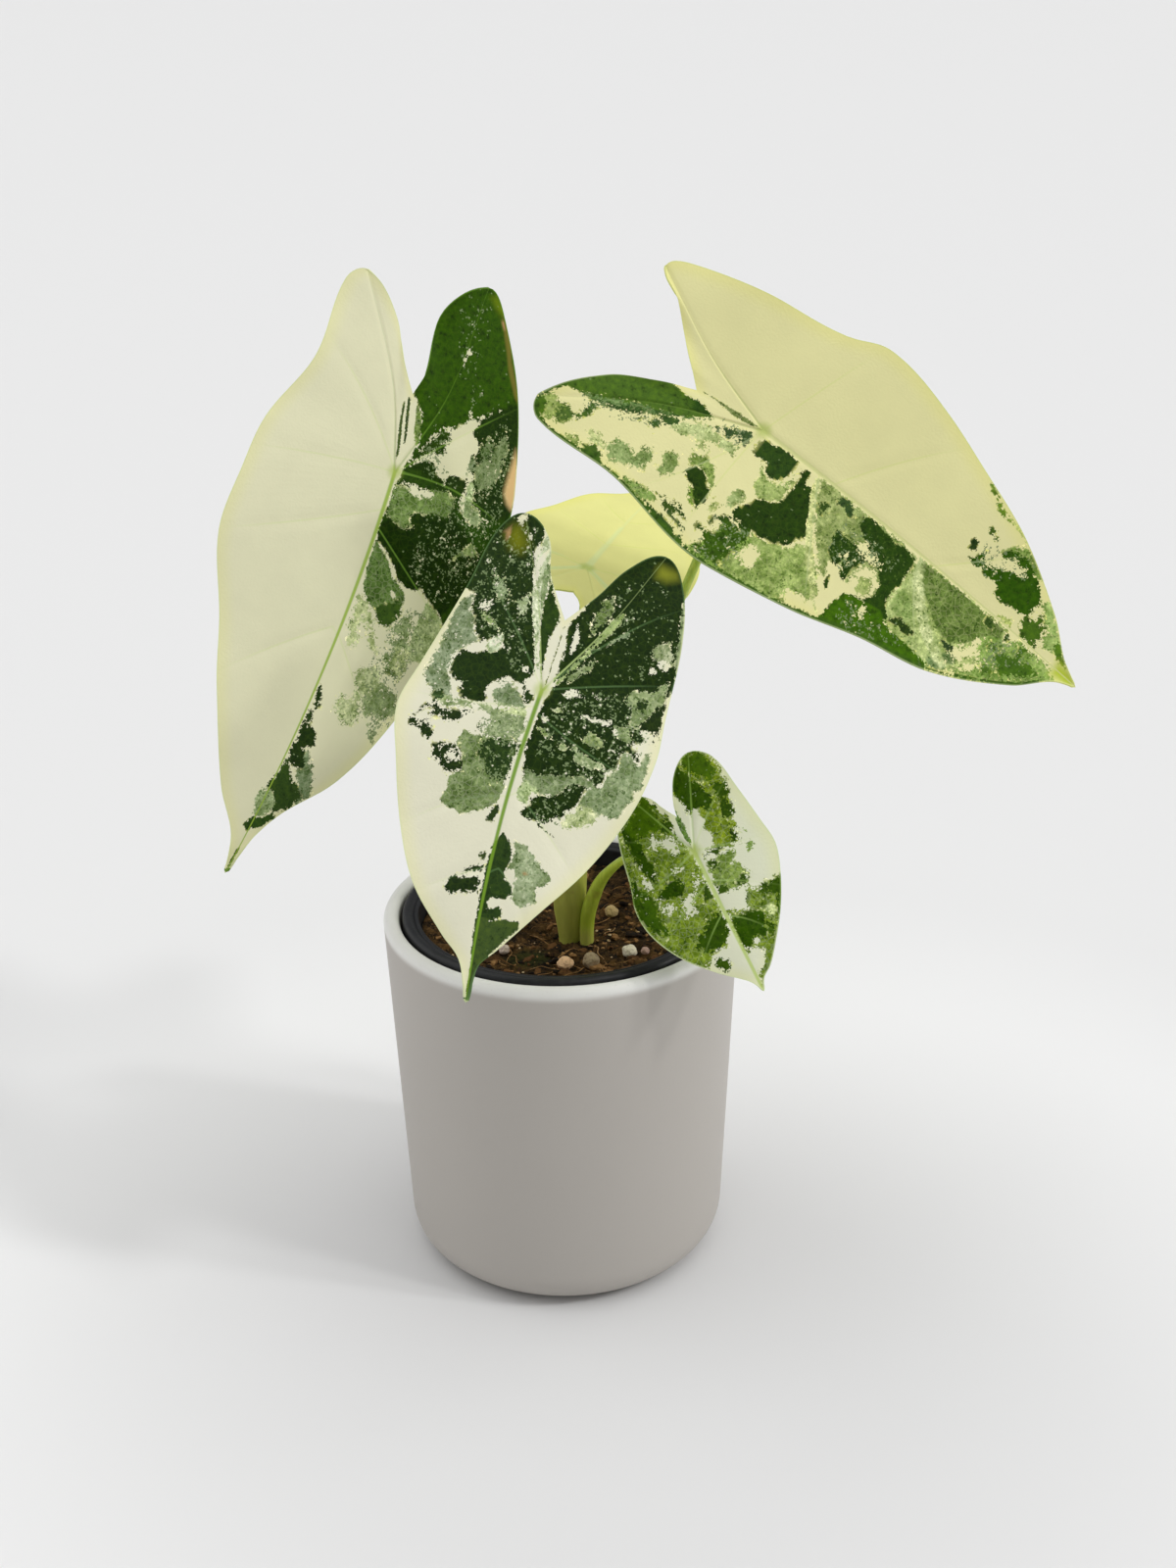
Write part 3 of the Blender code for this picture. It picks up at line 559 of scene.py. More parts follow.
crown_place = Vector((0.0032, 0.0, 0.0))
crown_profile = [(0.0028, 0.106), (0.0041, 0.110), (0.0044, 0.116), (0.0042, 0.131), (0.0047, 0.138),
                 (0.0055, 0.148), (0.0063, 0.158)]
sheath_profile = [
    (0.0040, 0.128), (0.0048, 0.134), (0.0058, 0.141), (0.0063, 0.150), (0.0067, 0.160), (0.0071, 0.170),
    (0.0071, 0.1703), (0.0069, 0.1703), (0.0068, 0.170), (0.0063, 0.160), (0.0058, 0.150), (0.0050, 0.140)]
slant_from = 0.146
slant_bearing = -0.7

sap = Finish("green_stalk", 0.38, subsurface_weight=0.15)
sap.shader.inputs["Subsurface Radius"].default_value = (0.0015, 0.002, 0.0006)
sap.shader.inputs["Subsurface Scale"].default_value = 1.0
drawn_out = sap.node("Mapping", {"Vector": sap.place(), "Scale": (1, 1, 0.12)})
streaks = sap.noise(drawn_out, 0.0011, 4, 0.6)
stalk_level = sap.node("SeparateXYZ", {0: sap.place()}, "Z")
green = sap.mix(sap.between(stalk_level, 0.13, 0.26), (0.47, 0.60, 0.045), (0.44, 0.60, 0.08))
green = sap.mix(sap.between(streaks, 0.40, 0.68, 0.0, 0.65), green, (0.64, 0.74, 0.09))
green = sap.mix(sap.between(stalk_level, 0.131, 0.138, 0.5, 0.0), green, (0.60, 0.52, 0.16))
blush = sap.noise(sap.place(), 0.007, 3)
sap.colour(sap.mix(sap.between(blush, 0.62, 0.74, 0.0, 0.3), green, (0.30, 0.16, 0.04)))
sap.bump(streaks, 0.00008)

crown_line = [crown_place + Vector((0, 0, z)) for r, z in crown_profile]
crown = stem("crown_stem", crown_line, [r for r, z in crown_profile])
finished(crown, sap, "crown")

sheath = thrown("crown_sheath", sheath_profile, 64)
for vert in sheath.data.vertices:
    bearing = math.atan2(vert.co.y, vert.co.x)
    slant = 0.45 * max(0.0, math.cos(bearing - slant_bearing)) + 0.12 * math.cos(3 * bearing)
    ridge = 1 + 0.05 * math.cos(2 * bearing + 0.6) + 0.02 * math.cos(7 * bearing)
    vert.co.z = min(vert.co.z, slant_from) + max(vert.co.z - slant_from, 0.0) * (1 - slant)
    vert.co.x, vert.co.y = vert.co.x * ridge + crown_place.x, vert.co.y * ridge
round_off(sheath, 50)
finished(sheath, sap, "crown")

# LEAF BLADES, HOW EACH IS LAID OUT
# A blade is a thin arrow-shaped sheet, folded lightly along its midrib, with two lobes behind the stalk's
# junction. A rib runs down the middle and one into each lobe, and side veins leave them towards the margin.

blade_thickness = 0.0006
rib_thickness = 0.0021
tip_crowding = 0.8
margin_crowding = 1.35
fold_softness = 0.006
vein_furrow = 1.6        # in millimetres, like every distance kept on a leaf's points
rib_furrow = 1.3
no_vein = 4.0
field_reach = 8.0
jag_depth = 1.3
margin_waves = 1.15
lobe_knot = 3            # which knot of a half's outline is the lobe's end, and which its shoulder
shoulder_knot = 6
side_vein_depth = 0.0004
rib_depth = 0.0005
stalk_straight = 0.004
stalk_sink = 0.0020


def walk(line, count, crowding=1.0):
    """Points along a line at even shares of its length; crowding under 1 gathers them at the end."""
    line = np.array(line)
    lengths = np.concatenate([[0.0], np.cumsum(np.linalg.norm(np.diff(line, axis=0), axis=1))])
    goals = lengths[-1] * (np.arange(count + 1) / count) ** crowding
    return np.stack([np.interp(goals, lengths, line[:, axis]) for axis in range(line.shape[1])], axis=1)


class Blade:
    """A leaf blade's frame in the plant, and the height of its surface over the flat leaf."""

    def __init__(self, leaf):
        self.leaf = leaf
        self.junction = np.array(leaf["junction"])
        chord = Vector(leaf["tip"]) - Vector(leaf["junction"])
        self.length = chord.length
        along = chord.normalized()
        face = Vector(leaf["face"])
        up = (face - face.dot(along) * along).normalized()
        self.frame = np.array([along, up.cross(along), up])

    def midrib(self, x):
        """How far the midrib bows sideways."""
        share = np.clip(x / self.length, 0.0, 1.0)
        return 4 * self.leaf["bow"] * share * (1 - share)

    def height(self, x, y):
        """Arch along the midrib, V fold about it, and the curl of the halves."""
        leaf = self.leaf
        share = np.clip(x / self.length, 0.0, 1.0)
        arch = 4 * leaf["arch"] * (share * (1 - share) + np.minimum(x, 0.0) / self.length)
        across = y - self.midrib(x)
        fold = math.tan(math.radians(leaf["fold"])) * (np.hypot(across, fold_softness) - fold_softness)
        return arch + fold - leaf["curl"] * across ** 2

    def point(self, x, y, lift=0.0):
        """A point of the blade in the plant."""
        flat = np.stack([x, y, self.height(x, y) + lift], axis=-1)
        return self.junction + flat @ self.frame

    def half(self, side, lobe_rows, front_rows):
        """Rows of one half: the foot of each on a rib and its end on the margin."""
        leaf = self.leaf
        per_span = 8
        knots = [leaf["sinus"]] + leaf[side] + [(self.length, 0.0)]
        line = [point[:2] for point in smooth_line([(x, y, 0.0) for x, y in knots], per_span)]
        lobe = lobe_knot * per_span
        shoulder = shoulder_knot * per_span
        inner = walk(line[:lobe + 1], lobe_rows)
        outer = walk(line[lobe:shoulder + 1], lobe_rows)
        front = walk(line[shoulder:], front_rows, tip_crowding)
        bend = leaf.get(side + "_rib", (line[lobe][0] / 2, line[lobe][1] / 2))
        bent = smooth_line([(0, 0, 0), (*bend, 0), (*line[lobe], 0)], 12)
        rib = walk([point[:2] for point in bent], lobe_rows)
        x = self.length * (np.arange(front_rows + 1) / front_rows) ** tip_crowding
        feet = np.concatenate([rib, rib[-2::-1], np.stack([x, self.midrib(x)], axis=1)[1:]])
        return feet, np.concatenate([inner, outer[1:], front[1:]])


def distance_to(flat, line):
    """Distance in millimetres to a line of points, signed: over zero on the line's left."""
    x, y = flat[:, 0] * 1000, flat[:, 1] * 1000
    nearest = np.full(len(flat), 1e9)
    signs = np.ones(len(flat))
    for (ax, ay), (bx, by) in zip(line, line[1:]):
        ex, ey = bx - ax, by - ay
        share = np.clip(((x - ax) * ex + (y - ay) * ey) / (ex * ex + ey * ey), 0, 1)
        distance = np.hypot(x - ax - share * ex, y - ay - share * ey)
        closer = distance < nearest
        nearest = np.where(closer, distance, nearest)
        signs = np.where(closer, np.sign(ex * (y - ay) - ey * (x - ax)), signs)
    return nearest * signs


def inside_of(flat, corners):
    """Distance inside a patch with these corners, and minus the distance outside it, in millimetres."""
    x, y = flat[:, 0] * 1000, flat[:, 1] * 1000
    ring = list(corners) + [corners[0]]
    inside = np.zeros(len(flat), bool)
    for (ax, ay), (bx, by) in zip(ring, ring[1:]):
        crosses = (ay > y) != (by > y)
        inside ^= crosses & (x < ax + (y - ay) * (bx - ax) / ((by - ay) or 1e-9))
    away = np.abs(distance_to(flat, ring))
    return np.where(inside, away, -away)


def pairs(numbers):
    """Corners (x, y) out of a flat row of numbers."""
    return list(zip(numbers[::2], numbers[1::2]))


def ink(red, green, blue):
    """A colour given as a screen's 0 to 255 values, made linear."""
    return tuple((c / 255 / 12.92) if c < 10.3 else ((c / 255 + 0.055) / 1.055) ** 2.4
                 for c in (red, green, blue))


def side_veins(flat, lines):
    """Distance to the nearest side vein of a half, its sign turning at each, and a phase counting them."""
    x, y = flat[:, 0] * 1000, np.abs(flat[:, 1]) * 1000
    gaps = []
    for line in lines:
        knots = np.array(pairs(line), float)
        curve = np.polyfit(np.abs(knots[:, 1]), knots[:, 0], 2)
        slope = np.polyval(np.polyder(curve), y)
        gaps.append((x - np.polyval(curve, y)) / np.hypot(1, slope))
    field, phase = gaps[0].copy(), gaps[0] / 30
    for number, (gap, following) in enumerate(zip(gaps, gaps[1:])):
        between = (gap >= 0) & (following < 0)
        turn = -1 if number % 2 else 1
        spread = np.maximum(gap - following, 1e-6)
        field = np.where(between, turn * gap * -following / spread, field)
        phase = np.where(between, number + gap / spread, phase)
    last = gaps[-1] >= 0
    field = np.where(last, gaps[-1] * (1 if len(gaps) % 2 else -1), field)
    return field, np.where(last, len(gaps) - 1 + gaps[-1] / 30, phase)


def lay_leaf(name, leaf, lobe_rows, front_rows, columns):
    """One blade's upper face: both halves as bent grids that meet on the ribs."""
    blade = Blade(leaf)
    halves = []
    for side in ("right", "left"):
        feet, margin = blade.half(side, lobe_rows, front_rows)
        rows = len(feet)
        drop_selection()
        bpy.ops.mesh.primitive_grid_add(x_subdivisions=rows - 1, y_subdivisions=columns, size=1.0)
        grid = bpy.context.object
        halves.append(grid)
        number = np.tile(np.arange(rows), columns + 1)
        share = np.repeat((np.arange(columns + 1) / columns) ** margin_crowding, rows)
        flat = feet[number] + (margin[number] - feet[number]) * share[:, None]
        width = np.linalg.norm(margin - feet, axis=1)[number] * 1000
        field, phase = side_veins(flat, leaf[side + "_veins"])
        field = np.where(number < lobe_rows, no_vein, field)
        row = np.where(number <= 2 * lobe_rows, number * 8 / lobe_rows,
                       16 + (number - 2 * lobe_rows) * 13 / front_rows)
        ends = np.clip(np.minimum(number, rows - 1 - number) / 8, 0, 1)
        wave = leaf["ripple"] * np.sin(margin_waves * row) * ends * share ** 2
        reach = np.hypot(flat[:, 0], flat[:, 1])
        near_vein = np.exp(-(field / vein_furrow) ** 2)
        near_rib = np.exp(-(share * width / rib_furrow) ** 2)
        sunk = side_vein_depth * near_vein * np.clip(share * 8, 0, 1) * (1 - share ** 3)
        groove = rib_depth * near_rib * np.clip(1 - reach / blade.length, 0, 1)
        spot = blade.point(flat[:, 0], flat[:, 1], wave - sunk - groove)
        grid.data.vertices.foreach_set("co", spot.ravel())
        for label, values in (("flat_x", flat[:, 0]), ("flat_y", flat[:, 1]), ("edge", (1 - share) * width),
                              ("rib", share * width), ("lateral", field), ("phase", phase)):
            grid.data.attributes.new(label, "FLOAT", "POINT").data.foreach_set("value", values)
        grid.data.update()
        middle_face = grid.data.polygons[(rows - 1) * (columns // 2) + 2 * lobe_rows + front_rows // 2]
        if middle_face.normal.dot(Vector(blade.frame[2])) < 0:
            grid.data.flip_normals()
    drop_selection()
    for grid in halves:
        grid.select_set(True)
    bpy.context.view_layer.objects.active = halves[0]
    bpy.ops.object.join()
    piece = bpy.context.object
    piece.name = name
    bpy.ops.object.mode_set(mode="EDIT")
    bpy.ops.mesh.select_all(action="SELECT")
    bpy.ops.mesh.remove_doubles(threshold=0.000002)
    bpy.ops.mesh.dissolve_degenerate(threshold=0.000001)
    bpy.ops.object.mode_set(mode="OBJECT")
    return piece


def read_values(piece, label):
    """What was written to a piece's points under a label."""
    values = np.empty(len(piece.data.vertices))
    piece.data.attributes[label].data.foreach_get("value", values)
    return values


def paint_leaf(piece, base, patches):
    """Write a leaf's markings to its points, later ones over earlier.

    A patch is (kind, tone, jag, corners in millimetres). Each kind has a field that is over zero inside its
    patches, and sage, dark and stain have a tone too. A hole lets the ground show, over lays sage on dark,
    speck crowds the pale specks up to its tone, and margin is a dark edge as wide as its jag.
    """
    flat = np.stack([read_values(piece, "flat_x"), read_values(piece, "flat_y")], axis=1)
    count = len(flat)
    kinds = ("sage", "dark", "over", "hole", "speck", "stain")
    fields = {kind: np.full(count, -field_reach) for kind in kinds}
    tones = {kind: np.tile(base, (count, 1)) for kind in ("sage", "dark", "stain")}
    for kind, tone, jag, corners in patches:
        field = np.clip(inside_of(flat, pairs(corners)) / (jag_depth * jag), -field_reach, field_reach)
        if kind == "margin":
            field = np.minimum(field, (jag - read_values(piece, "edge")) / 0.7)
            kind = "dark"
        if kind == "speck" and tone:
            field = np.minimum(field, tone)
        layer = "sage" if kind == "over" else kind
        if layer in tones:
            nearer = (field > (-0.5 if layer != "stain" else fields[layer]))[:, None]
            tones[layer] = np.where(nearer, ink(*tone), tones[layer])
        fields[layer] = np.maximum(fields[layer], field)
        if kind == "over":
            fields["over"] = np.maximum(fields["over"], field)
        if layer in ("sage", "dark"):
            fields["hole"] = np.minimum(fields["hole"], -field)
        if kind == "dark":
            fields["over"] = np.minimum(fields["over"], -field)
    for kind, field in fields.items():
        piece.data.attributes.new(kind, "FLOAT", "POINT").data.foreach_set("value", field)
    for kind, tone in tones.items():
        colours = np.concatenate([tone, np.ones((count, 1))], axis=1)
        written = piece.data.attributes.new(kind + "_tone", "FLOAT_COLOR", "POINT")
        written.data.foreach_set("color", colours.ravel())


def thicken_leaf(piece):
    """Thicken a blade downwards: thin at the margin, a rounded ridge along the ribs, one skin all round."""
    rib = read_values(piece, "rib")
    x, y = read_values(piece, "flat_x"), read_values(piece, "flat_y")
    length = x.max()
    strength = np.clip(1 - 0.75 * np.maximum(x / length, 0), 0, 1)
    strength *= np.clip(1 - 0.8 * np.maximum(-x, 0) / np.maximum(-x.min(), 1e-6), 0, 1)
    weight = strength * np.sqrt(np.clip(1 - (rib / (0.5 + 1.5 * strength)) ** 2, 0, 1))
    group = piece.vertex_groups.new(name="ridge")
    for index in np.nonzero(weight > 0)[0]:
        group.add([int(index)], float(weight[index]), "REPLACE")
    shell = piece.modifiers.new("Thickness", "SOLIDIFY")
    shell.thickness = rib_thickness
    shell.offset = -1.0
    shell.vertex_group = "ridge"
    shell.thickness_vertex_group = blade_thickness / rib_thickness
    shell.material_offset = 1
    drop_selection()
    piece.select_set(True)
    bpy.context.view_layer.objects.active = piece
    bpy.ops.object.modifier_apply(modifier=shell.name)
    bpy.ops.object.shade_smooth_by_angle(angle=math.radians(60))


def leaf_finish(name, base, rib, lobe_rib, lateral, roughness=0.5, under=0.0):
    """Leaf skin: jagged sage and dark areas over a pale ground, with crumbs, specks and lighter veins.

    The ribs' colours have a fourth value, their strength, and under is how far the colours go to the
    underside's pale green.
    """
    skin = Finish(name, roughness)
    skin.gloss(0.05)
    plane = skin.node("CombineXYZ", {0: skin.attribute("flat_x"), 1: skin.attribute("flat_y")})
    crumb_size, block_size, net_size = 0.00055, 0.0015, 0.0022
    crumbs = skin.cells(plane, crumb_size)
    crumb_red = skin.node("SeparateColor", {0: crumbs}, 0)
    crumb_green = skin.node("SeparateColor", {0: crumbs}, 1)
    centre = skin.cells(plane, crumb_size, "Position")
    wander = skin.noise(centre, 0.0032, 4, 0.7)
    blocks = skin.node("SeparateColor", {0: skin.cells(plane, block_size)}, 0)

    def jitter(first, second, third):
        """What frays an edge: a slow wander, blocks and single crumbs, each about zero."""
        total = skin.maths("MULTIPLY_ADD", wander, first, -first / 2)
        total = skin.maths("ADD", total, skin.maths("MULTIPLY_ADD", blocks, second, -second / 2))
        return skin.maths("ADD", total, skin.maths("MULTIPLY_ADD", crumb_red, third, -third / 2))

    uneven = jitter(3.6, 1.3, 1.3)
    opposite = jitter(-3.2, 1.3, 1.3)

    def area(kind, shift):
        """1 inside the patches of a kind and 0 outside, along their frayed edges."""
        return skin.between(skin.maths("ADD", skin.attribute(kind), shift), -0.08, 0.08)

    # the pale ground, a little uneven and warmer towards the margin
    tinted = tuple(0.86 * c for c in base)
    ground = skin.mix(skin.between(skin.noise(plane, 0.014, 3, 0.55), 0.3, 0.75, 0.0, 0.25), base, tinted)
    net = skin.between(skin.cells(plane, net_size, "Distance", "DISTANCE_TO_EDGE"), 0.02, 0.09, 1.0, 0.0)
    warmer = tuple(share * c for share, c in zip((1.0, 1.0, 0.68), base))
    ground = skin.mix(skin.between(skin.attribute("edge"), 0.0, 7.0, 0.5, 0.0), ground, warmer)
    hole = skin.maths("SUBTRACT", 1.0, area("hole", opposite))

    def scaled(tone, *shares):
        """A tone with its red, green and blue each multiplied."""
        return skin.node("VectorMath", {0: tone, 1: shares}, operation="MULTIPLY")

    # sage over it, in paler and deeper clouds and mottled by crumbs
    sage_tone = scaled(skin.attribute("sage_tone", "Color"), 1.0, 1.0, 0.80)
    broad = skin.noise(plane, 0.0062, 5, 0.72)
    pale_sage, deep_sage = scaled(sage_tone, 1.30, 1.26, 1.36), scaled(sage_tone, 0.68, 0.75, 0.58)
    sage_tone = skin.mix(skin.between(broad, 0.41, 0.57, 1.0, 0.0), pale_sage, deep_sage)
    mottle = skin.maths("MULTIPLY_ADD", crumb_green, 0.10, skin.noise(centre, 0.0018, 4, 0.75))
    bright, dim = scaled(sage_tone, 1.55, 1.45, 1.6), scaled(sage_tone, 0.50, 0.58, 0.45)
    sage = skin.mix(skin.between(mottle, 0.56, 0.68, 0.0, 0.9), sage_tone, bright)
    sage = skin.mix(skin.between(mottle, 0.42, 0.52, 0.8, 0.0), sage, dim)
    sage = skin.mix(skin.maths("MULTIPLY", net, 0.15), sage, tinted)
    sage_share = skin.maths("MULTIPLY", area("sage", opposite), hole)
    colour = skin.mix(sage_share, ground, sage)

    # dark green over the sage, except in holes and under later sage
    depth = skin.noise(plane, 0.0026, 5, 0.7)
    dark_tone = scaled(skin.attribute("dark_tone", "Color"), 0.95, 1.0, 0.7)
    lighter = scaled(dark_tone, 1.5, 1.42, 1.0)
    nearly_black, net_green = (0.006, 0.015, 0.002), (0.11, 0.18, 0.015)
    deeper = skin.mix(skin.between(depth, 0.46, 0.64, 0.0, 0.8), dark_tone, lighter)
    deeper = skin.mix(skin.between(depth, 0.34, 0.47, 0.6, 0.0), deeper, nearly_black)
    deeper = skin.mix(skin.maths("MULTIPLY", net, 0.10), deeper, net_green)
    clear = skin.maths("MULTIPLY", hole, skin.maths("SUBTRACT", 1.0, area("over", opposite)))
    dark = skin.maths("MULTIPLY", area("dark", uneven), clear)
    colour = skin.mix(dark, colour, deeper)

    # dark crumbs in the sage, pale specks, and stains
    fleck = skin.maths("MULTIPLY", crumb_green, 0.2)
    fleck = skin.maths("MULTIPLY_ADD", skin.noise(centre, 0.0022, 3, 0.6), 0.65, fleck)
    fleck = skin.maths("MULTIPLY_ADD", skin.noise(plane, 0.013, 2), 0.22, fleck)
    few = skin.maths("MULTIPLY_ADD", dark, -0.075, 0.80)
    limit = skin.between(skin.attribute("speck"), -1.5, 2.0, few, 0.60)
    excess = skin.maths("SUBTRACT", fleck, limit)
    dark_crumbs = skin.maths("MULTIPLY", skin.between(fleck, 0.40, 0.41, 0.85, 0.0), sage_share)
    colour = skin.mix(dark_crumbs, colour, scaled(sage_tone, 0.28, 0.38, 0.2))
    speck_rim = (0.20, 0.27, 0.12)
    colour = skin.mix(skin.between(excess, 0.0, 0.01, 0.0, 0.9), colour, speck_rim)
    colour = skin.mix(skin.between(excess, 0.08, 0.09), colour, tinted)
    stain = skin.between(skin.attribute("stain"), -1.0, 1.5)
    colour = skin.mix(stain, colour, skin.attribute("stain_tone", "Color"))

    # side veins, ribs and a thin line round the margin
    green = skin.maths("MAXIMUM", dark, skin.maths("MULTIPLY", sage_share, 0.8))
    faint = tuple(share * c for share, c in zip((0.88, 0.96, 0.72), base))
    along = skin.attribute("flat_x")
    reach = skin.node("VectorMath", {0: plane}, 1, operation="LENGTH")
    side_line = skin.between(skin.maths("ABSOLUTE", skin.attribute("lateral")), 0.1, 0.5, 1.0, 0.0)
    fade = skin.between(skin.attribute("edge"), 1.0, 22.0, 0.15, 1.0)
    fade = skin.maths("MULTIPLY", fade, skin.between(green, 0.0, 1.0, 0.5, lateral[3]))
    colour = skin.mix(skin.maths("MULTIPLY", side_line, fade), colour, skin.mix(green, faint, lateral[:3]))
    ahead = skin.between(along, -0.004, 0.001)
    lobe_taper = skin.between(reach, 0.0, 0.05, 0.75, 0.3)
    tip_taper = skin.between(reach, 0.0, 0.14, 1.0, 0.32)
    taper = skin.mix(ahead, lobe_taper, tip_taper)
    rib_line = skin.between(skin.maths("DIVIDE", skin.attribute("rib"), taper), 0.35, 1.1, 1.0, 0.0)
    on_green = skin.between(green, 0.0, 1.0, 0.35, lobe_rib[3])
    back_share = skin.maths("MULTIPLY", skin.between(along, -0.045, -0.004, 0.35, 1.0), on_green)
    rib_share = skin.between(ahead, 0.0, 1.0, back_share, rib[3])
    rib_tone = skin.mix(ahead, lobe_rib[:3], rib[:3])
    colour = skin.mix(skin.maths("MULTIPLY", rib_line, rib_share), colour, rib_tone)
    colour = skin.mix(skin.between(reach, 0.0010, 0.0042, 0.6, 0.0), colour, ink(176, 194, 92))
    rim_line = skin.between(skin.attribute("edge"), 0.15, 0.7, 0.7, 0.0)
    colour = skin.mix(rim_line, colour, skin.mix(dark, faint, lateral[:3]))
    if under:
        colour = skin.mix(under, colour, ink(165, 178, 140))
    skin.colour(colour)
    ribs = skin.maths("SINE", skin.maths("MULTIPLY", skin.attribute("phase"), 60.0))
    rough = skin.maths("ADD", skin.maths("MULTIPLY", ribs, 0.06), skin.noise(plane, 0.0009, 3))
    skin.bump(rough, 0.00010)
    return skin


def leaf_piece(name, node, leaf, patches, base, rib, lobe_rib, lateral, rows=(48, 124, 46)):
    """A whole leaf blade from its measurements, colours and patches."""
    piece = lay_leaf(name, leaf, *rows)
    paint_leaf(piece, base, patches)
    top = leaf_finish(name + "_top", base, rib, lobe_rib, lateral)
    below = leaf_finish(name + "_under", base, rib, lobe_rib, lateral, roughness=0.65, under=0.55)
    piece.data.materials.append(top.material)
    piece.data.materials.append(below.material)
    thicken_leaf(piece)
    stands_for(piece, node)


def leaf_stalk(name, node, leaf, foot, base_radius=0.0023, end_radius=0.0017, swell=0.0):
    """A leaf's stalk from its foot to the underside of the blade, its lower part thicker by swell."""
    blade = Blade(leaf)
    step = 0.002
    spots = [Vector(blade.point(x, y)) for x, y in ((step, 0), (-step, 0), (0, step), (0, -step))]
    below = -(spots[0] - spots[1]).cross(spots[2] - spots[3]).normalized()
    end = Vector(leaf["junction"]) + below * stalk_sink
    straight = Vector((0, 0, stalk_straight))
    bends = [Vector(knot) for knot in leaf["stalk"]]
    knots = [foot, foot + straight, *bends, end + below * stalk_straight, end]
    bent = smooth_line(knots, 8)
    count = 72
    points = walk(bent, count)
    shares = np.arange(count + 1) / count
    radii = base_radius + (end_radius - base_radius) * np.minimum(1.6 * shares, 1.0)
    foot_flare = 0.16 * np.exp(-(shares / 0.06) ** 2)
    radii = radii * (1 + foot_flare + swell * np.exp(-((shares - 0.30) / 0.16) ** 2))
    piece = stem(name, points, radii)
    finished(piece, sap, node)


# LEFT LEAF
# The biggest blade. One half is all cream; the other is dark green towards its lobe and cream and sage
# towards its tip, with a rusty stain on its margin. Its stalk bends over behind it.

left_leaf = dict(
    junction=(-0.059, 0.045, 0.301), tip=(-0.123, -0.020, 0.168), face=(0.34, -0.90, 0.27),
    fold=-12, curl=1.2, arch=0.005, bow=0.003, ripple=0.0010, sinus=(-0.030, -0.0045),
    right=[(-0.040, -0.012), (-0.055, -0.020), (-0.067, -0.036), (-0.061, -0.042), (-0.028, -0.042),
           (0.000, -0.050), (0.020, -0.051), (0.046, -0.050), (0.075, -0.038), (0.098, -0.030),
           (0.132, -0.014), (0.147, -0.004)],
    left=[(-0.040, -0.003), (-0.065, -0.005), (-0.081, 0.008), (-0.075, 0.018), (-0.048, 0.036),
          (-0.014, 0.050), (0.012, 0.052), (0.050, 0.047), (0.086, 0.037), (0.115, 0.025), (0.134, 0.010),
          (0.148, 0.003)],
    left_rib=(-0.036, 0.0085), right_rib=(-0.030, -0.0120),
    stalk=[(-0.0012, 0.004, 0.178), (-0.008, 0.020, 0.204), (-0.017, 0.044, 0.234), (-0.033, 0.065, 0.264),
           (-0.055, 0.067, 0.290)],
    left_veins=[(0, 0, -25, 20, -48, 40), (0, 0, -4, 20, -2, 44), (22, 2, 33, 20, 46, 42),
                (65, 4, 80, 18, 98, 34)],
    right_veins=[(0, 0, -18, -16, -40, -44), (0, 0, 4, -22, 12, -52), (16, -1, 28, -20, 46, -52),
                 (64, 2, 76, -15, 97, -34)])
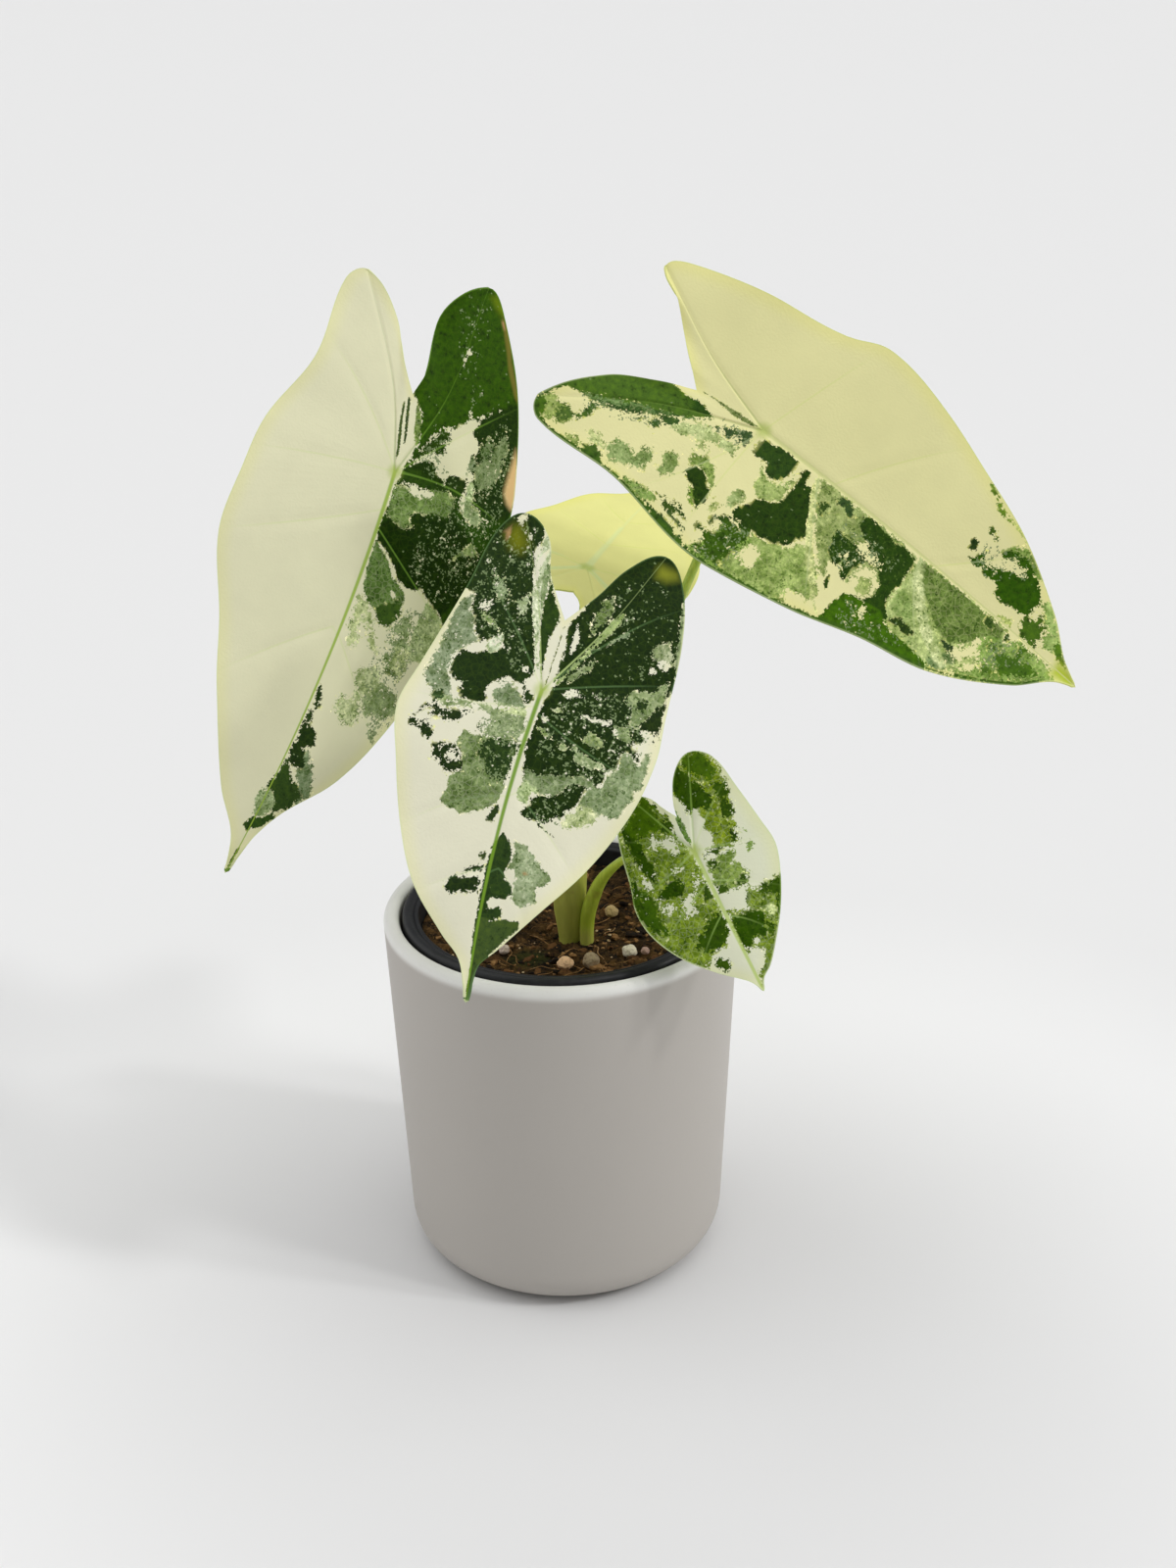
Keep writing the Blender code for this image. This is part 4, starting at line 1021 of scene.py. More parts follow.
left_patches = [
    ("dark", (48, 80, 8), 0.6,
     (-88, -10, -88, 20, -62, 34, -46, 46, -44, 36, -38, 27, -30, 20, -24, 12, -20, 9, -2, 2.5, -14, 4.3,
      -20, 3, -25, 0.8, -30, -4, -40, -6, -60, -9)),
    ("dark", (30, 52, 14), 0.6,
     (-46, 36, -42, 44, -34, 48, -26, 46, -12, 46, -9, 52, -7, 56, 4, 54, 2, 49, 0, 44, 0, 40, -2, 38,
      -2.5, 33, -4, 30, -6, 28, -9, 30, -11, 28, -12, 31, -15, 27, -20, 26, -25, 27, -28, 23, -33, 23,
      -36, 26, -41, 30)),
    ("dark", (34, 54, 18), 0.6, (-10, 28, -5, 29, -4, 24, -4, 20, -7, 20, -9.5, 21.5, -10, 25)),
    ("dark", (30, 52, 10), 0.6,
     (-10.5, 11, -9, 15, -7, 15, -6, 19, -3.5, 20, -2.5, 14, -1, 8, -0.5, 3, -4, 4, -8, 7.5)),
    ("dark", (42, 66, 16), 1.0,
     (-25, 16, -22, 15, -20, 17.5, -19.5, 15, -17, 16, -16, 18, -15, 15, -13.5, 15, -13, 11, -11, 9, -9, 7,
      -4, 4, -12, 6, -18, 8, -22, 11)),
    ("dark", (40, 70, 14), 0.7,
     (0, 28, 6, 27, 12, 30, 14, 46, 6, 48, 3, 54, -6, 54, 0, 44, 1, 40, -2, 38, -1, 36, 3, 34)),
    ("dark", (40, 66, 16), 0.5, (-4.5, 2.5, -4, 12, -4.5, 29, 6, 29, 20, 14, 24, 2)),
    ("dark", (24, 46, 6), 0.5,
     (4, 28, 6.5, 27, 8, 21, 10, 17, 11, 14, 13, 12.5, 15, 14.5, 17, 11, 18, 8, 17, 5, 19, 3, 23, 2.2,
      26, 3, 28, 7, 30, 10, 33, 13.5, 36, 16, 37.5, 20, 37, 25, 35.5, 27, 38, 30, 39, 33, 40.5, 36,
      43, 39.5, 46, 44, 32, 46, 24, 48, 14, 48, 12, 40)),
    ("over", (118, 136, 100), 1.0,
     (-34, 36, -30, 39.5, -22, 40.5, -14, 39.5, -9, 37.5, -8, 34, -11, 32, -16, 30, -20, 31, -22, 34,
      -26, 35)),
    ("over", (84, 108, 64), 1.6, (-29, 31, -26, 34.5, -22, 34, -20, 30, -24, 29)),
    ("over", (130, 146, 120), 0.9, (-21, 26, -17, 29, -13, 28.5, -12, 26.5, -18, 26)),
    ("over", (182, 198, 164), 0.5, (-11, 30, -8, 34, -4, 33, -1, 34, 3, 36, 4, 33, 0, 31, -5, 30, -9, 29)),
    ("over", (140, 158, 120), 0.6, (-2.5, 34, 0, 40, 4, 39.5, 5, 36, 2, 34.5, 0, 30, -2, 27)),
    ("over", (108, 134, 76), 0.7,
     (-2, 26, 2, 27, 6, 26, 8, 20, 10, 15, 12, 11, 14, 12, 16, 14, 18, 10, 17, 6, 16, 3, 8, 2, 4, 2, 2.5, 6,
      1.5, 12, -1, 17, -2.5, 22)),
    ("over", (120, 142, 88), 0.7,
     (11, 39.5, 12, 42.5, 14, 43.5, 16, 41, 17, 38, 19, 36, 20, 33, 17.5, 34.5, 14, 37.5)),
    ("hole", None, 0.5,
     (-33, 24, -31, 25, -28, 23, -25, 24.5, -24, 28, -21, 28.5, -20, 26, -15, 26, -12, 26.5, -10, 25,
      -9.5, 21, -7, 20, -6.3, 18, -7, 15, -10, 14.5, -11, 11, -9, 8, -10, 7.5, -12, 10, -14, 10.5, -13, 13,
      -15, 15.5, -17, 18, -18, 14.5, -20, 14.5, -20, 17, -24, 16, -26, 18.5, -29, 20, -31, 19.5)),
    ("hole", None, 0.4, (-34.8, 19.5, -33, 20.4, -31.8, 19.5, -33.5, 18.4)),
    ("hole", None, 0.4, (-56, 9.6, -55, 11.2, -53, 10.4, -49, 9.9, -54, 9.0)),
    ("hole", None, 0.5,
     (0.5, 17, 2.5, 18, 3.5, 15, 3, 12, 5.5, 14, 5.5, 10, 3.5, 7, 3, 3, 2, 4, 1, 9, 0, 13)),
    ("sage", (90, 118, 62), 0.4,
     (25.5, 2.5, 30, 8, 32, 11, 36, 14, 38, 18, 40, 21.5, 43, 22, 46, 22, 50, 20, 54, 17, 52, 14, 50, 12,
      49, 9, 47, 7, 45, 5, 40, 4, 33, 3)),
    ("dark", (62, 88, 40), 0.8,
     (43, 20, 46, 22.5, 50, 22.5, 54, 19.5, 54.8, 16.5, 52, 14, 49, 12.5, 46, 16)),
    ("hole", None, 0.3, (41, 15.3, 41.3, 18.2, 43, 18.2, 43, 16)),
    ("sage", (162, 178, 136), 0.5,
     (39, 31, 39.5, 35, 42, 39, 45, 42, 50, 44, 56, 42, 61, 38, 62, 33, 62, 30, 59, 29.5, 56, 31.5, 50, 30,
      46, 30.5, 42, 31)),
    ("sage", (138, 156, 114), 1.0,
     (45, 27, 50, 29, 56, 30, 62, 29, 66, 31, 69, 30, 68, 28, 70, 25, 68, 24, 66, 26, 65, 22, 63, 23,
      62, 26, 60, 24, 59, 22, 57, 24, 56, 27, 55, 24, 55, 20, 53, 22, 48, 24)),
    ("dark", (82, 100, 66), 0.5, (68, 30, 70.8, 31.2, 70.2, 27.5, 69, 24.3, 68, 26)),
    ("sage", (178, 188, 146), 1.2, (60, 27, 60, 32, 66, 34, 70, 32, 68, 28)),
    ("sage", (134, 152, 110), 1.1,
     (74, 25, 74, 28, 76, 33.5, 80, 36, 84, 36.5, 86, 33, 86, 28, 88, 25, 86, 23, 84, 22, 81, 21.5,
      78, 23)),
    ("sage", (130, 146, 112), 1.4, (88, 30, 90, 32.5, 93, 31, 96, 32, 94, 29, 90, 28)),
    ("sage", (174, 186, 146), 1.2,
     (69, 23, 73, 25.5, 76, 25, 80, 22, 84, 21, 87, 22, 90, 23, 93, 21, 94, 18, 92, 16, 90, 13, 86, 12,
      83, 14, 86, 17, 82, 18, 78, 17, 75, 15, 72, 17, 70, 20)),
    ("sage", (178, 190, 146), 1.2,
     (48, 5, 49, 8, 52, 12, 55, 14, 57, 12, 55, 9, 58, 9, 60, 8, 62, 11, 66, 11, 66, 8, 61, 6, 54, 5)),
    ("sage", (192, 200, 160), 1.2, (57, 14, 60, 17, 63, 20, 66, 21, 65, 17, 61, 14)),
    ("dark", (32, 52, 24), 0.7, (83.5, 4, 85, 5.5, 88, 6.5, 91, 7.2, 93, 6, 91, 4.5, 87, 4)),
    ("dark", (44, 62, 34), 1.0, (94, 4, 94, 6, 97, 6.2, 98, 4)),
    ("sage", (112, 132, 100), 1.0,
     (107, 9, 113, 14, 118, 16.5, 124, 17.5, 129, 14, 124, 11, 118, 10, 112, 7)),
    ("dark", (34, 52, 26), 0.8,
     (98, 3.5, 100, 9.5, 105, 11.5, 108, 8, 111, 10, 114, 11, 116, 8, 114, 4.5, 110, 3.5, 104, 4)),
    ("dark", (50, 72, 36), 0.7,
     (113, 3.2, 116, 6, 120, 8.5, 121, 11, 124, 14.5, 127, 14.5, 131, 12, 134, 7, 131, 4, 127, 0.5, 124, 1,
      119, 2.6)),
    ("over", (150, 168, 130), 0.6, (126, 0, 127.5, 4, 130, 6.5, 134, 6.2, 138, 2.5, 137, 0, 131, -1.4)),
    ("dark", (48, 74, 34), 0.5, (133.5, 7, 136, 9, 141, 4.5, 144, 0.4, 142, -1.2, 138, 0.5, 137, 4)),
    ("dark", (60, 82, 40), 0.25, (150, 0.9, 156, 0.7, 161, 0.3, 161, -0.3, 156, -0.2, 152, 0.1)),
    ("dark", (44, 72, 14), 0.8, (12, 46, 20, 46, 34, 44, 40, 40, 44, 40, 47, 44, 30, 48, 14, 50)),
    ("hole", None, 0.3, (-29, -8, -29, -2.5, -24, -1.2, -17, 1.6, -11, 3.6, -2, 1.2, 0, -1.5, -10, -4)),
    ("dark", (60, 78, 46), 0.22,
     (-28.5, -5.9, -24, -4.9, -18, -3.1, -11, -1.1, -8.5, -0.2, -14, -0.6, -20, -2.2, -28.5, -4.7)),
    ("dark", (70, 88, 50), 0.22,
     (-26.5, -6.9, -19, -5.7, -12, -3.7, -6, -2.0, -1, -1.5, -7, -1.1, -13, -2.6, -19, -4.4, -26.5, -5.9)),
    ("sage", (105, 130, 66), 0.3, (-29, -2.2, -24, -1, -18, 0.6, -14, 2.2, -12, 4.4, -18, 3.8, -24, 1.6)),
    ("stain", (226, 190, 136), 1.0,
     (-31, 43.0, -26, 49, -16, 53, -7, 55, -8.5, 49, -11, 45.5, -14, 44.5, -20, 44, -25, 43.6)),
    ("stain", (118, 112, 44), 0.5,
     (-74, 17.5, -72, 23, -60, 28, -45, 39, -48, 34, -56, 27.8, -62, 24.6, -68, 20.8)),
    ("stain", (196, 150, 106), 0.6, (-73.5, 18, -72, 22, -67, 24, -69, 20.5, -72, 18)),
    ("stain", (112, 134, 14), 1.6, (-80, 12, -77, 19, -73.5, 18, -75, 14, -78, 10)),
    ("speck", 0.4, 1.0, (-80, 4, -80, 15, -70, 17, -58, 14, -46, 22, -36, 20, -46, 10, -58, 4, -70, -1)),
    ("speck", None, 0.5,
     (3, 20, 10, 16, 20, 18, 30, 18, 36, 24, 38, 34, 36, 42, 20, 46, -6, 48, -30, 43, -40, 34, -26, 28,
      -8, 36, 0, 30)),
    ("speck", None, 0.8, (-24, 8, -24, 17, -12, 17, -10, 24, -4, 28, -2, 20, -4, 8, -12, 6)),
    ("speck", None, 0.8, (42, 24, 42, 40, 72, 34, 90, 38, 90, 20, 66, 18))]
leaf_piece("left_leaf", "leaf_left", left_leaf, left_patches,
           base=ink(232, 230, 194), rib=(*ink(154, 184, 66), 0.9),
           lobe_rib=(*ink(108, 150, 46), 0.8), lateral=(*ink(112, 152, 56), 0.7))
leaf_stalk("left_stalk", "stalk_left", left_leaf, Vector((-0.0005, 0, 0.1583)))

# RIGHT LEAF
# A wide blade held to the right. Its upper half is yellow cream with one green patch near the tip; the
# lower half is marbled in dark green, sage and cream, with a green margin.

right_leaf = dict(
    junction=(0.074, 0.005, 0.324), tip=(0.183, -0.025, 0.238), face=(0.07, -0.91, 0.4),
    fold=10, curl=1, arch=0.006, bow=0, ripple=0.001, sinus=(-0.027, -0.003),
    right=[(-0.04, -0.009), (-0.055, -0.018), (-0.069, -0.039), (-0.064, -0.046), (-0.03, -0.046),
           (0, -0.051), (0.014, -0.051), (0.045, -0.045), (0.07, -0.037), (0.096, -0.031), (0.123, -0.015),
           (0.134, -0.004)],
    left=[(-0.038, 0.006), (-0.052, 0.018), (-0.063, 0.025), (-0.057, 0.031), (-0.03, 0.038),
          (0.002, 0.043), (0.017, 0.048), (0.046, 0.043), (0.072, 0.035), (0.096, 0.026), (0.12, 0.014),
          (0.133, 0.004)],
    left_rib=(-0.030, 0.0095), right_rib=(-0.034, -0.0150),
    stalk=[(0.0125, 0.001, 0.182), (0.033, 0.005, 0.232), (0.0475, 0.01, 0.266), (0.0665, 0.02, 0.306)],
    left_veins=[(0, 0, 6, 20, 16, 50), (32, 2, 44, 20, 62, 42), (78, 2, 90, 14, 104, 28)],
    right_veins=[(0, 0, -10, -24, -26, -50), (0, 0, -1, -25, 0, -56), (25, -1, 36, -20, 52, -46),
                 (70, -1, 80, -18, 96, -34)])
right_patches = [
    ("dark", (76, 106, 42), 0.5,
     (-72, -36, -66, -31, -60, -29.5, -52, -28.5, -46, -26, -41, -24, -36, -21, -30, -17.5, -24, -13.5,
      -17, -8, -15.5, -6.8, -19, -6.8, -22, -6, -24, -5.3, -26, -6.5, -30, -7, -34, -6, -60, -13,
      -76, -30)),
    ("over", (92, 122, 72), 0.8,
     (-58, -29, -50, -28, -42, -24.5, -36, -21, -28, -16, -20, -11, -16, -8, -22, -12, -30, -16, -38, -19,
      -46, -23, -54, -27)),
    ("dark", (45, 75, 30), 0.5, (-26, -6.8, -24, -5.4, -21, -6, -17, -6.8, -18, -8, -24, -9)),
    ("dark", (58, 85, 48), 0.9,
     (-52, -28, -47, -28, -41, -25.5, -38, -23.5, -36, -24, -35, -21.5, -38, -21, -42, -22.5, -48, -26)),
    ("dark", (60, 88, 48), 0.9,
     (-34, -18, -30, -17, -26, -14.5, -24, -16, -26, -19, -29, -20, -30, -24, -33, -23, -31, -19.5)),
    ("sage", (176, 190, 138), 1.0,
     (-20, -13, -16, -10.5, -14, -10, -13, -12, -8, -11, -3, -10, -2, -14, -5, -14, -9, -14, -14, -16,
      -18, -17, -21, -19, -27, -20, -27, -17, -22, -14)),
    ("dark", (62, 85, 58), 0.9,
     (-15, -10.5, -12, -8.5, -8, -6, -4, -3.5, -1.5, -3.2, -1, -6, -2, -8.5, -4, -9, -6, -7.5, -8, -10,
      -10, -9, -12, -10.5)),
    ("sage", (128, 152, 82), 0.8,
     (-15, -21, -12, -21.5, -8, -20, -5, -21.5, -2.5, -25, -1, -28, -4, -27, -8, -24.5, -12, -26,
      -14, -24)),
    ("sage", (172, 184, 126), 1.2, (-16, -18, -12, -19.5, -10, -18.5, -13, -16)),
    ("sage", (100, 130, 48), 0.8, (-8, -31, -5, -31, -1.5, -35, -1, -38, -5, -36, -8, -33.5)),
    ("dark", (38, 62, 18), 0.5,
     (-12.5, -30, -12, -26.5, -10, -24.5, -7, -24.3, -4.5, -26, -4, -28, -1, -29, 0, -33, -1.5, -37,
      -3, -36, -5, -34, -7, -31.5, -10, -30.5)),
    ("sage", (128, 150, 92), 0.9,
     (-22.5, -29, -20, -26, -17, -26, -15.5, -29, -15, -32, -18, -35.5, -20.5, -34.5, -20, -31)),
    ("sage", (134, 156, 102), 1.1,
     (-29, -31, -26, -29.5, -24, -33, -23.5, -37, -27, -39, -31, -40, -34, -43, -37, -41, -39, -38,
      -38, -34, -35, -35, -33, -33, -30, -35)),
    ("sage", (176, 188, 132), 1.2, (-47, -38, -43, -36.5, -39, -40, -44, -41.5)),
    ("dark", (70, 98, 42), 0.6, (-45.5, -43.5, -43, -41, -40, -41.5, -37.5, -43.5, -38, -46, -44, -46)),
    ("sage", (140, 160, 90), 0.8, (-53, -44, -48, -42.3, -46, -46, -52, -46)),
    ("sage", (138, 158, 88), 0.8,
     (-69, -40, -67, -36, -64, -35, -62, -36, -58, -35, -55, -37, -54, -39.5, -57, -42.5, -61, -43.5,
      -66, -46, -72, -44)),
    ("dark", (75, 106, 35), 0.7, (-71, -41, -67, -38, -64, -40, -63.5, -43, -66, -46.5, -71, -44)),
    ("dark", (80, 106, 55), 1.2, (-60, -36.5, -57, -36, -54.5, -38, -57, -41.5, -60, -41, -61, -38.5)),
    ("dark", (70, 98, 45), 0.9, (-54, -36.5, -53, -32, -53.5, -29, -50, -28, -50.5, -33, -53, -37.5)),
    ("sage", (120, 148, 80), 0.7, (-28, -43.8, -22, -42.5, -16, -42, -13, -43.5, -18, -47, -26, -47)),
    ("dark", (66, 92, 40), 0.5, (-16, -40.8, -12, -40.2, -12.5, -41.3, -16, -41.8)),
    ("dark", (55, 78, 35), 1.0,
     (-12, -42, -8, -39.8, -4, -40, -1, -41.5, -2, -43, -6, -42.5, -9, -45, -11.5, -43.5)),
    ("dark", (70, 90, 60), 0.4, (-9, -44, -3, -44.3, 0, -45.3, 0, -46.8, -3, -45.8, -8, -45)),
    ("dark", (52, 80, 40), 0.5,
     (-17, -45.3, -10, -46.3, -5, -47.3, -2, -48.3, 3, -50, 10, -50.3, 8, -54, -2, -53, -10, -50)),
    ("sage", (150, 170, 105), 0.7,
     (6, -10, 8, -12.5, 9, -18, 12, -20.5, 16, -20, 20, -17, 20, -9, 18, -5, 17.5, -10, 15, -13, 11, -13,
      8, -11)),
    ("dark", (45, 70, 30), 0.6,
     (0.5, -6, 1, -3, 4, -2, 8, -1.2, 13, -1, 16.5, -1, 17, -5, 16, -9.5, 14, -12, 12, -12.8, 9, -11.5,
      7.5, -8.5, 4, -9.5, 1, -8.5)),
    ("dark", (38, 62, 18), 0.45,
     (19, -4, 20, -1.8, 22, -2, 23, -5, 24, -8.5, 26, -3.5, 28, -8, 31, -13, 34, -16.5, 35, -21.5,
      32.5, -24, 31.5, -28, 28, -29.5, 25, -31, 22, -32, 18, -31, 16.5, -34, 14, -33, 13, -31, 11, -33,
      9.5, -31, 9.5, -27, 11.5, -25, 12.5, -22, 14, -20, 17, -19.5, 19.5, -17.5, 20.5, -12, 20.5, -6)),
    ("hole", None, 0.25, (27, -28.5, 27.5, -27.2, 28.9, -27.8, 28.2, -28.9)),
    ("hole", None, 0.25, (29.4, -26.3, 30.6, -26.7, 29.8, -27.4)),
    ("sage", (152, 170, 116), 0.7, (5.5, -23, 7, -22, 9.5, -22.5, 9.5, -25, 8.5, -30, 6, -31, 5, -28)),
    ("sage", (182, 192, 134), 0.9, (1, -31, 4, -31, 4, -35, 1.5, -36)),
    ("dark", (50, 75, 35), 0.5,
     (4, -37, 5, -35, 8, -32.5, 10, -32, 9, -35, 7, -36, 5.5, -39, 4.5, -40.5, 2.5, -43.8, 0.8, -43.3,
      2, -41, 4, -39.5)),
    ("sage", (126, 156, 76), 0.9,
     (9, -35, 20, -32, 22, -38, 19, -41, 24, -46, 30, -46, 36, -47, 44, -45, 52, -47, 10, -54, 3, -50,
      8, -44)),
    ("dark", (58, 88, 20), 1.1,
     (10, -34, 13, -33, 16, -34, 18, -32.5, 20, -37, 19, -40, 17.5, -38, 17.5, -43, 16, -49, 12, -48,
      8, -50, 5, -49, 6, -47, 8, -45, 6, -43, 6, -41, 9, -41, 10, -38)),
    ("sage", (144, 166, 98), 0.8,
     (20, -32, 26, -31, 32, -28, 34, -24.5, 38, -24, 44, -27, 47, -31, 50, -35, 49, -39, 46, -38, 41, -40,
      40, -43, 45, -45.5, 36, -47.5, 26, -49, 18, -49.5, 17, -45, 20, -42, 19.5, -38, 21, -36)),
    ("hole", None, 0.7, (20.5, -36, 23, -35, 26, -36, 27, -40, 25.5, -43, 22, -42.5, 20, -40)),
    ("sage", (140, 158, 100), 0.7,
     (26, -1, 70, -1, 70, -20, 62, -26, 55, -26, 50, -21, 44, -24, 38, -20, 33, -14, 28, -7)),
    ("sage", (158, 176, 112), 0.7,
     (70, -1, 110, -1, 112, -12, 106, -20, 98, -30, 84, -30, 73, -28, 70, -20)),
    ("hole", None, 1.0,
     (56, -17, 60, -15, 65, -18, 66, -24, 62, -28, 57, -27, 54, -36, 51, -40, 51, -28, 55, -24)),
    ("hole", None, 1.2, (104, -10, 109, -7, 108, -13, 103, -20, 98, -25, 99, -19, 102, -14)),
    ("sage", (146, 162, 104), 0.7,
     (27, -3, 28, -1.5, 34, -1.5, 36, -5, 40, -5, 44, -4, 48, -9, 50, -11, 46, -12, 41, -11, 40, -16,
      42, -20, 46, -23, 48, -28, 45, -28, 40, -22, 36, -16, 35, -10, 31, -9, 29, -6)),
    ("dark", (55, 78, 35), 0.8, (31, -8, 33, -6.5, 34.5, -7, 34.5, -10, 34, -12.5, 32.5, -11)),
    ("dark", (58, 82, 50), 0.6, (34.5, -2.5, 38, -1.2, 41, -1.5, 43, -5, 41, -6, 39, -4, 36, -5)),
    ("dark", (40, 66, 20), 0.6,
     (45.5, -2.5, 48, -1.2, 52, -1.5, 56, -1.5, 60, -3, 62, -2, 65, -1.8, 69, -2.5, 70, -6, 70, -14,
      69.8, -20, 71, -23, 74, -25, 73, -30, 56, -30, 56, -28, 60, -26, 63, -26, 65, -22, 64.5, -18,
      62.5, -15.5, 60, -14, 56, -15, 54, -19, 54, -22, 54, -25.5, 51.5, -24, 50, -19.5, 49, -23, 46, -22,
      43, -20, 42, -15, 41, -11, 43, -12, 47, -12.5, 50, -12, 52, -9, 49, -8, 46, -5)),
    ("dark", (64, 102, 14), 0.6,
     (57, -28, 64, -27, 70, -25, 76, -28, 86, -28.5, 94, -29, 96, -36, 80, -40, 60, -46, 55, -42, 55, -34)),
    ("hole", None, 1.2, (50, -10, 52, -13.5, 55, -14.5, 60, -13, 62, -14, 60, -11.5, 56, -11, 53, -9.5)),
    ("hole", None, 0.3, (48.8, -16, 50, -15, 50.4, -18.5, 49, -19.5)),
    ("sage", (150, 168, 102), 0.6, (58, -20, 61, -18.5, 63.5, -21, 62.5, -25, 59, -25.5)),
    ("hole", None, 0.8, (64.5, -27, 66.5, -28, 66.5, -31, 65, -31, 64.5, -29)),
    ("dark", (45, 70, 25), 0.4, (48.5, -26.5, 50, -28, 51.7, -31, 51, -32, 49.5, -30.5, 48.5, -28.5)),
    ("dark", (70, 98, 50), 0.5, (49, -43.8, 54, -41.5, 60, -40.5, 60, -44, 54, -47, 50, -46)),
    ("sage", (100, 124, 62), 0.7,
     (72, -2, 80, -1.6, 92, -1.6, 100, -1.8, 108, -2, 110, -6, 104, -10, 100, -15, 96, -17.5, 90, -17,
      84, -13, 78, -9, 74, -5)),
    ("sage", (166, 184, 124), 0.8,
     (70.5, -4, 74, -8, 80, -13, 88, -18, 96, -23, 98, -26, 97, -32, 90, -32, 85, -28, 84.5, -24.5,
      80, -22.5, 76, -24, 73, -25, 70.5, -22, 70, -16, 72, -10)),
    ("sage", (136, 160, 96), 1.2, (72, -15, 78, -16, 80, -20, 76, -22, 72, -20)),
    ("dark", (42, 62, 25), 0.6,
     (76, -23.5, 78, -22, 81, -23, 84, -23, 84.5, -24.5, 82, -26, 78, -25.5, 74, -26)),
    ("dark", (50, 70, 45), 0.6,
     (93.5, -19, 95, -18.3, 97, -17.8, 98.8, -18, 99, -20, 97, -20.8, 94.5, -20.5)),
    ("sage", (105, 130, 85), 1.0,
     (98, -21, 100.5, -20.5, 101, -23, 98.5, -24, 100, -26, 96, -29, 94, -27.5, 94.5, -24.5, 97, -24)),
    ("sage", (128, 158, 82), 1.0,
     (104, -9, 110, -5, 116, -1.5, 131, -1.2, 134, -4, 128, -12, 118, -20, 108, -26, 100, -30, 104, -24,
      110, -18, 106, -13)),
    ("dark", (60, 84, 40), 0.8, (101, -2, 103, -1.6, 105, -2.5, 104.5, -4.5, 101.5, -4)),
    ("dark", (66, 92, 45), 0.8, (108, -8, 110, -7.5, 111.5, -9.5, 108.5, -10.5)),
    ("dark", (60, 84, 40), 0.7, (110, -1.8, 112.5, -2, 112, -4.5, 110.5, -5)),
    ("dark", (72, 106, 35), 0.9,
     (117, -2.5, 120, -1.8, 119, -4.5, 120.5, -6.5, 126, -5, 128, -6, 126, -9, 122, -12, 118, -15, 115, -13,
      112, -12, 112, -10, 114, -8, 118, -6.5)),
    ("dark", (80, 110, 45), 0.8, (110, -16, 112, -15, 114.5, -16, 114.5, -17.5, 112, -19, 110.5, -17.5)),
    ("dark", (108, 138, 52), 0.5,
     (72.5, 33.5, 74, 34.5, 77, 32.5, 80, 31, 82, 29.5, 84, 28.7, 87, 28.2, 86, 27.3, 83, 27.5, 80, 28.8,
      77, 31)),
    ("sage", (172, 186, 104), 0.6, (84, 29.2, 92, 28.2, 98, 26, 95, 26, 88, 27.6)),
    ("dark", (70, 95, 45), 0.6, (82, 21.5, 83, 23.3, 84.8, 22.8, 84.5, 20.3, 83, 20.2)),
    ("dark", (84, 108, 60), 0.8, (85.3, 20.5, 87, 21.5, 87.7, 20, 86, 19.4)),
    ("dark", (45, 65, 35), 0.5, (79.8, 14.5, 80.5, 16, 82.3, 16, 83.3, 14.3, 83, 12.5, 81, 12)),
    ("sage", (120, 148, 74), 0.8, (90, 18, 93, 22, 97, 24.3, 101, 24.5, 105, 23, 109, 20, 104, 19, 97, 19)),
    ("dark", (50, 86, 14), 0.6,
     (82.5, 9.5, 85, 11.5, 84.5, 13.5, 86.5, 15, 88, 13, 90.5, 14, 92, 12.5, 94, 14, 94, 16, 96, 14.5,
      98, 16, 100, 15, 98, 17.5, 95.5, 17.5, 93, 17, 91, 18, 92, 20, 95, 21.5, 99, 22, 103, 21, 104, 20,
      106, 19, 108, 18.5, 111, 16, 113, 13.5, 112.5, 10, 112, 7.5, 110, 6, 106, 6, 104, 5.5, 101, 5,
      98, 5.8, 97.5, 8, 95, 9, 91, 8.5, 89, 10, 87, 8.5, 84.5, 9)),
    ("hole", None, 1.0,
     (86.5, 12, 89, 14.5, 92, 16, 95, 18.3, 101, 18.6, 102.5, 17.5, 100, 15.5, 97, 15.8, 95, 13.5, 92, 14.5,
      90, 12, 88, 11)),
    ("sage", (150, 178, 105), 0.9,
     (112, 15, 116, 16.5, 121, 13.5, 125, 10.5, 130, 7, 135, 2.6, 128, 4, 124, 3, 121, 4, 122, 8, 118, 10,
      116, 12)),
    ("dark", (90, 125, 45), 0.7, (126, 7.5, 129, 7.5, 132, 4.5, 135, 1.8, 131, 2.5, 128, 4.5, 126, 5.5)),
    ("dark", (72, 104, 35), 1.0,
     (111.5, 5, 112, 8, 113.5, 5.5, 115.5, 8.5, 116.5, 11, 118, 8, 120, 9, 121, 6, 120.5, 3, 122, 1, 119, 1,
      117, 0.5, 115, 1, 113, 2.5)),
    ("sage", (172, 188, 110), 0.8, (104, 0.6, 106, 2.4, 109, 2.6, 110, 0.6)),
    ("sage", (120, 136, 84), 0.3,
     (-25, -1.9, -16, -0.9, -8, -0.2, -2, -0.2, -6, -1.8, -12, -2.3, -20, -1.7, -25, -2.6)),
    ("stain", (188, 204, 62), 1.5, (131, -3, 131, 3, 142, 3, 142, -3)),
    ("over", (196, 204, 148), 0.3,
     (24.5, -2, 26.5, -2, 30, -10, 34, -17, 39, -23, 45, -30, 50, -36, 54, -40, 52.5, -40, 46, -34, 40, -28,
      34, -21, 29.5, -13, 26, -7)),
    ("over", (188, 200, 152), 0.6,
     (69.5, -1, 71.5, -1, 76, -8, 82, -14, 88, -19, 94, -23, 100, -25, 99, -27, 92, -25, 85, -20.5,
      78, -14.5, 72.5, -8)),
    ("margin", (64, 96, 34), 1.3,
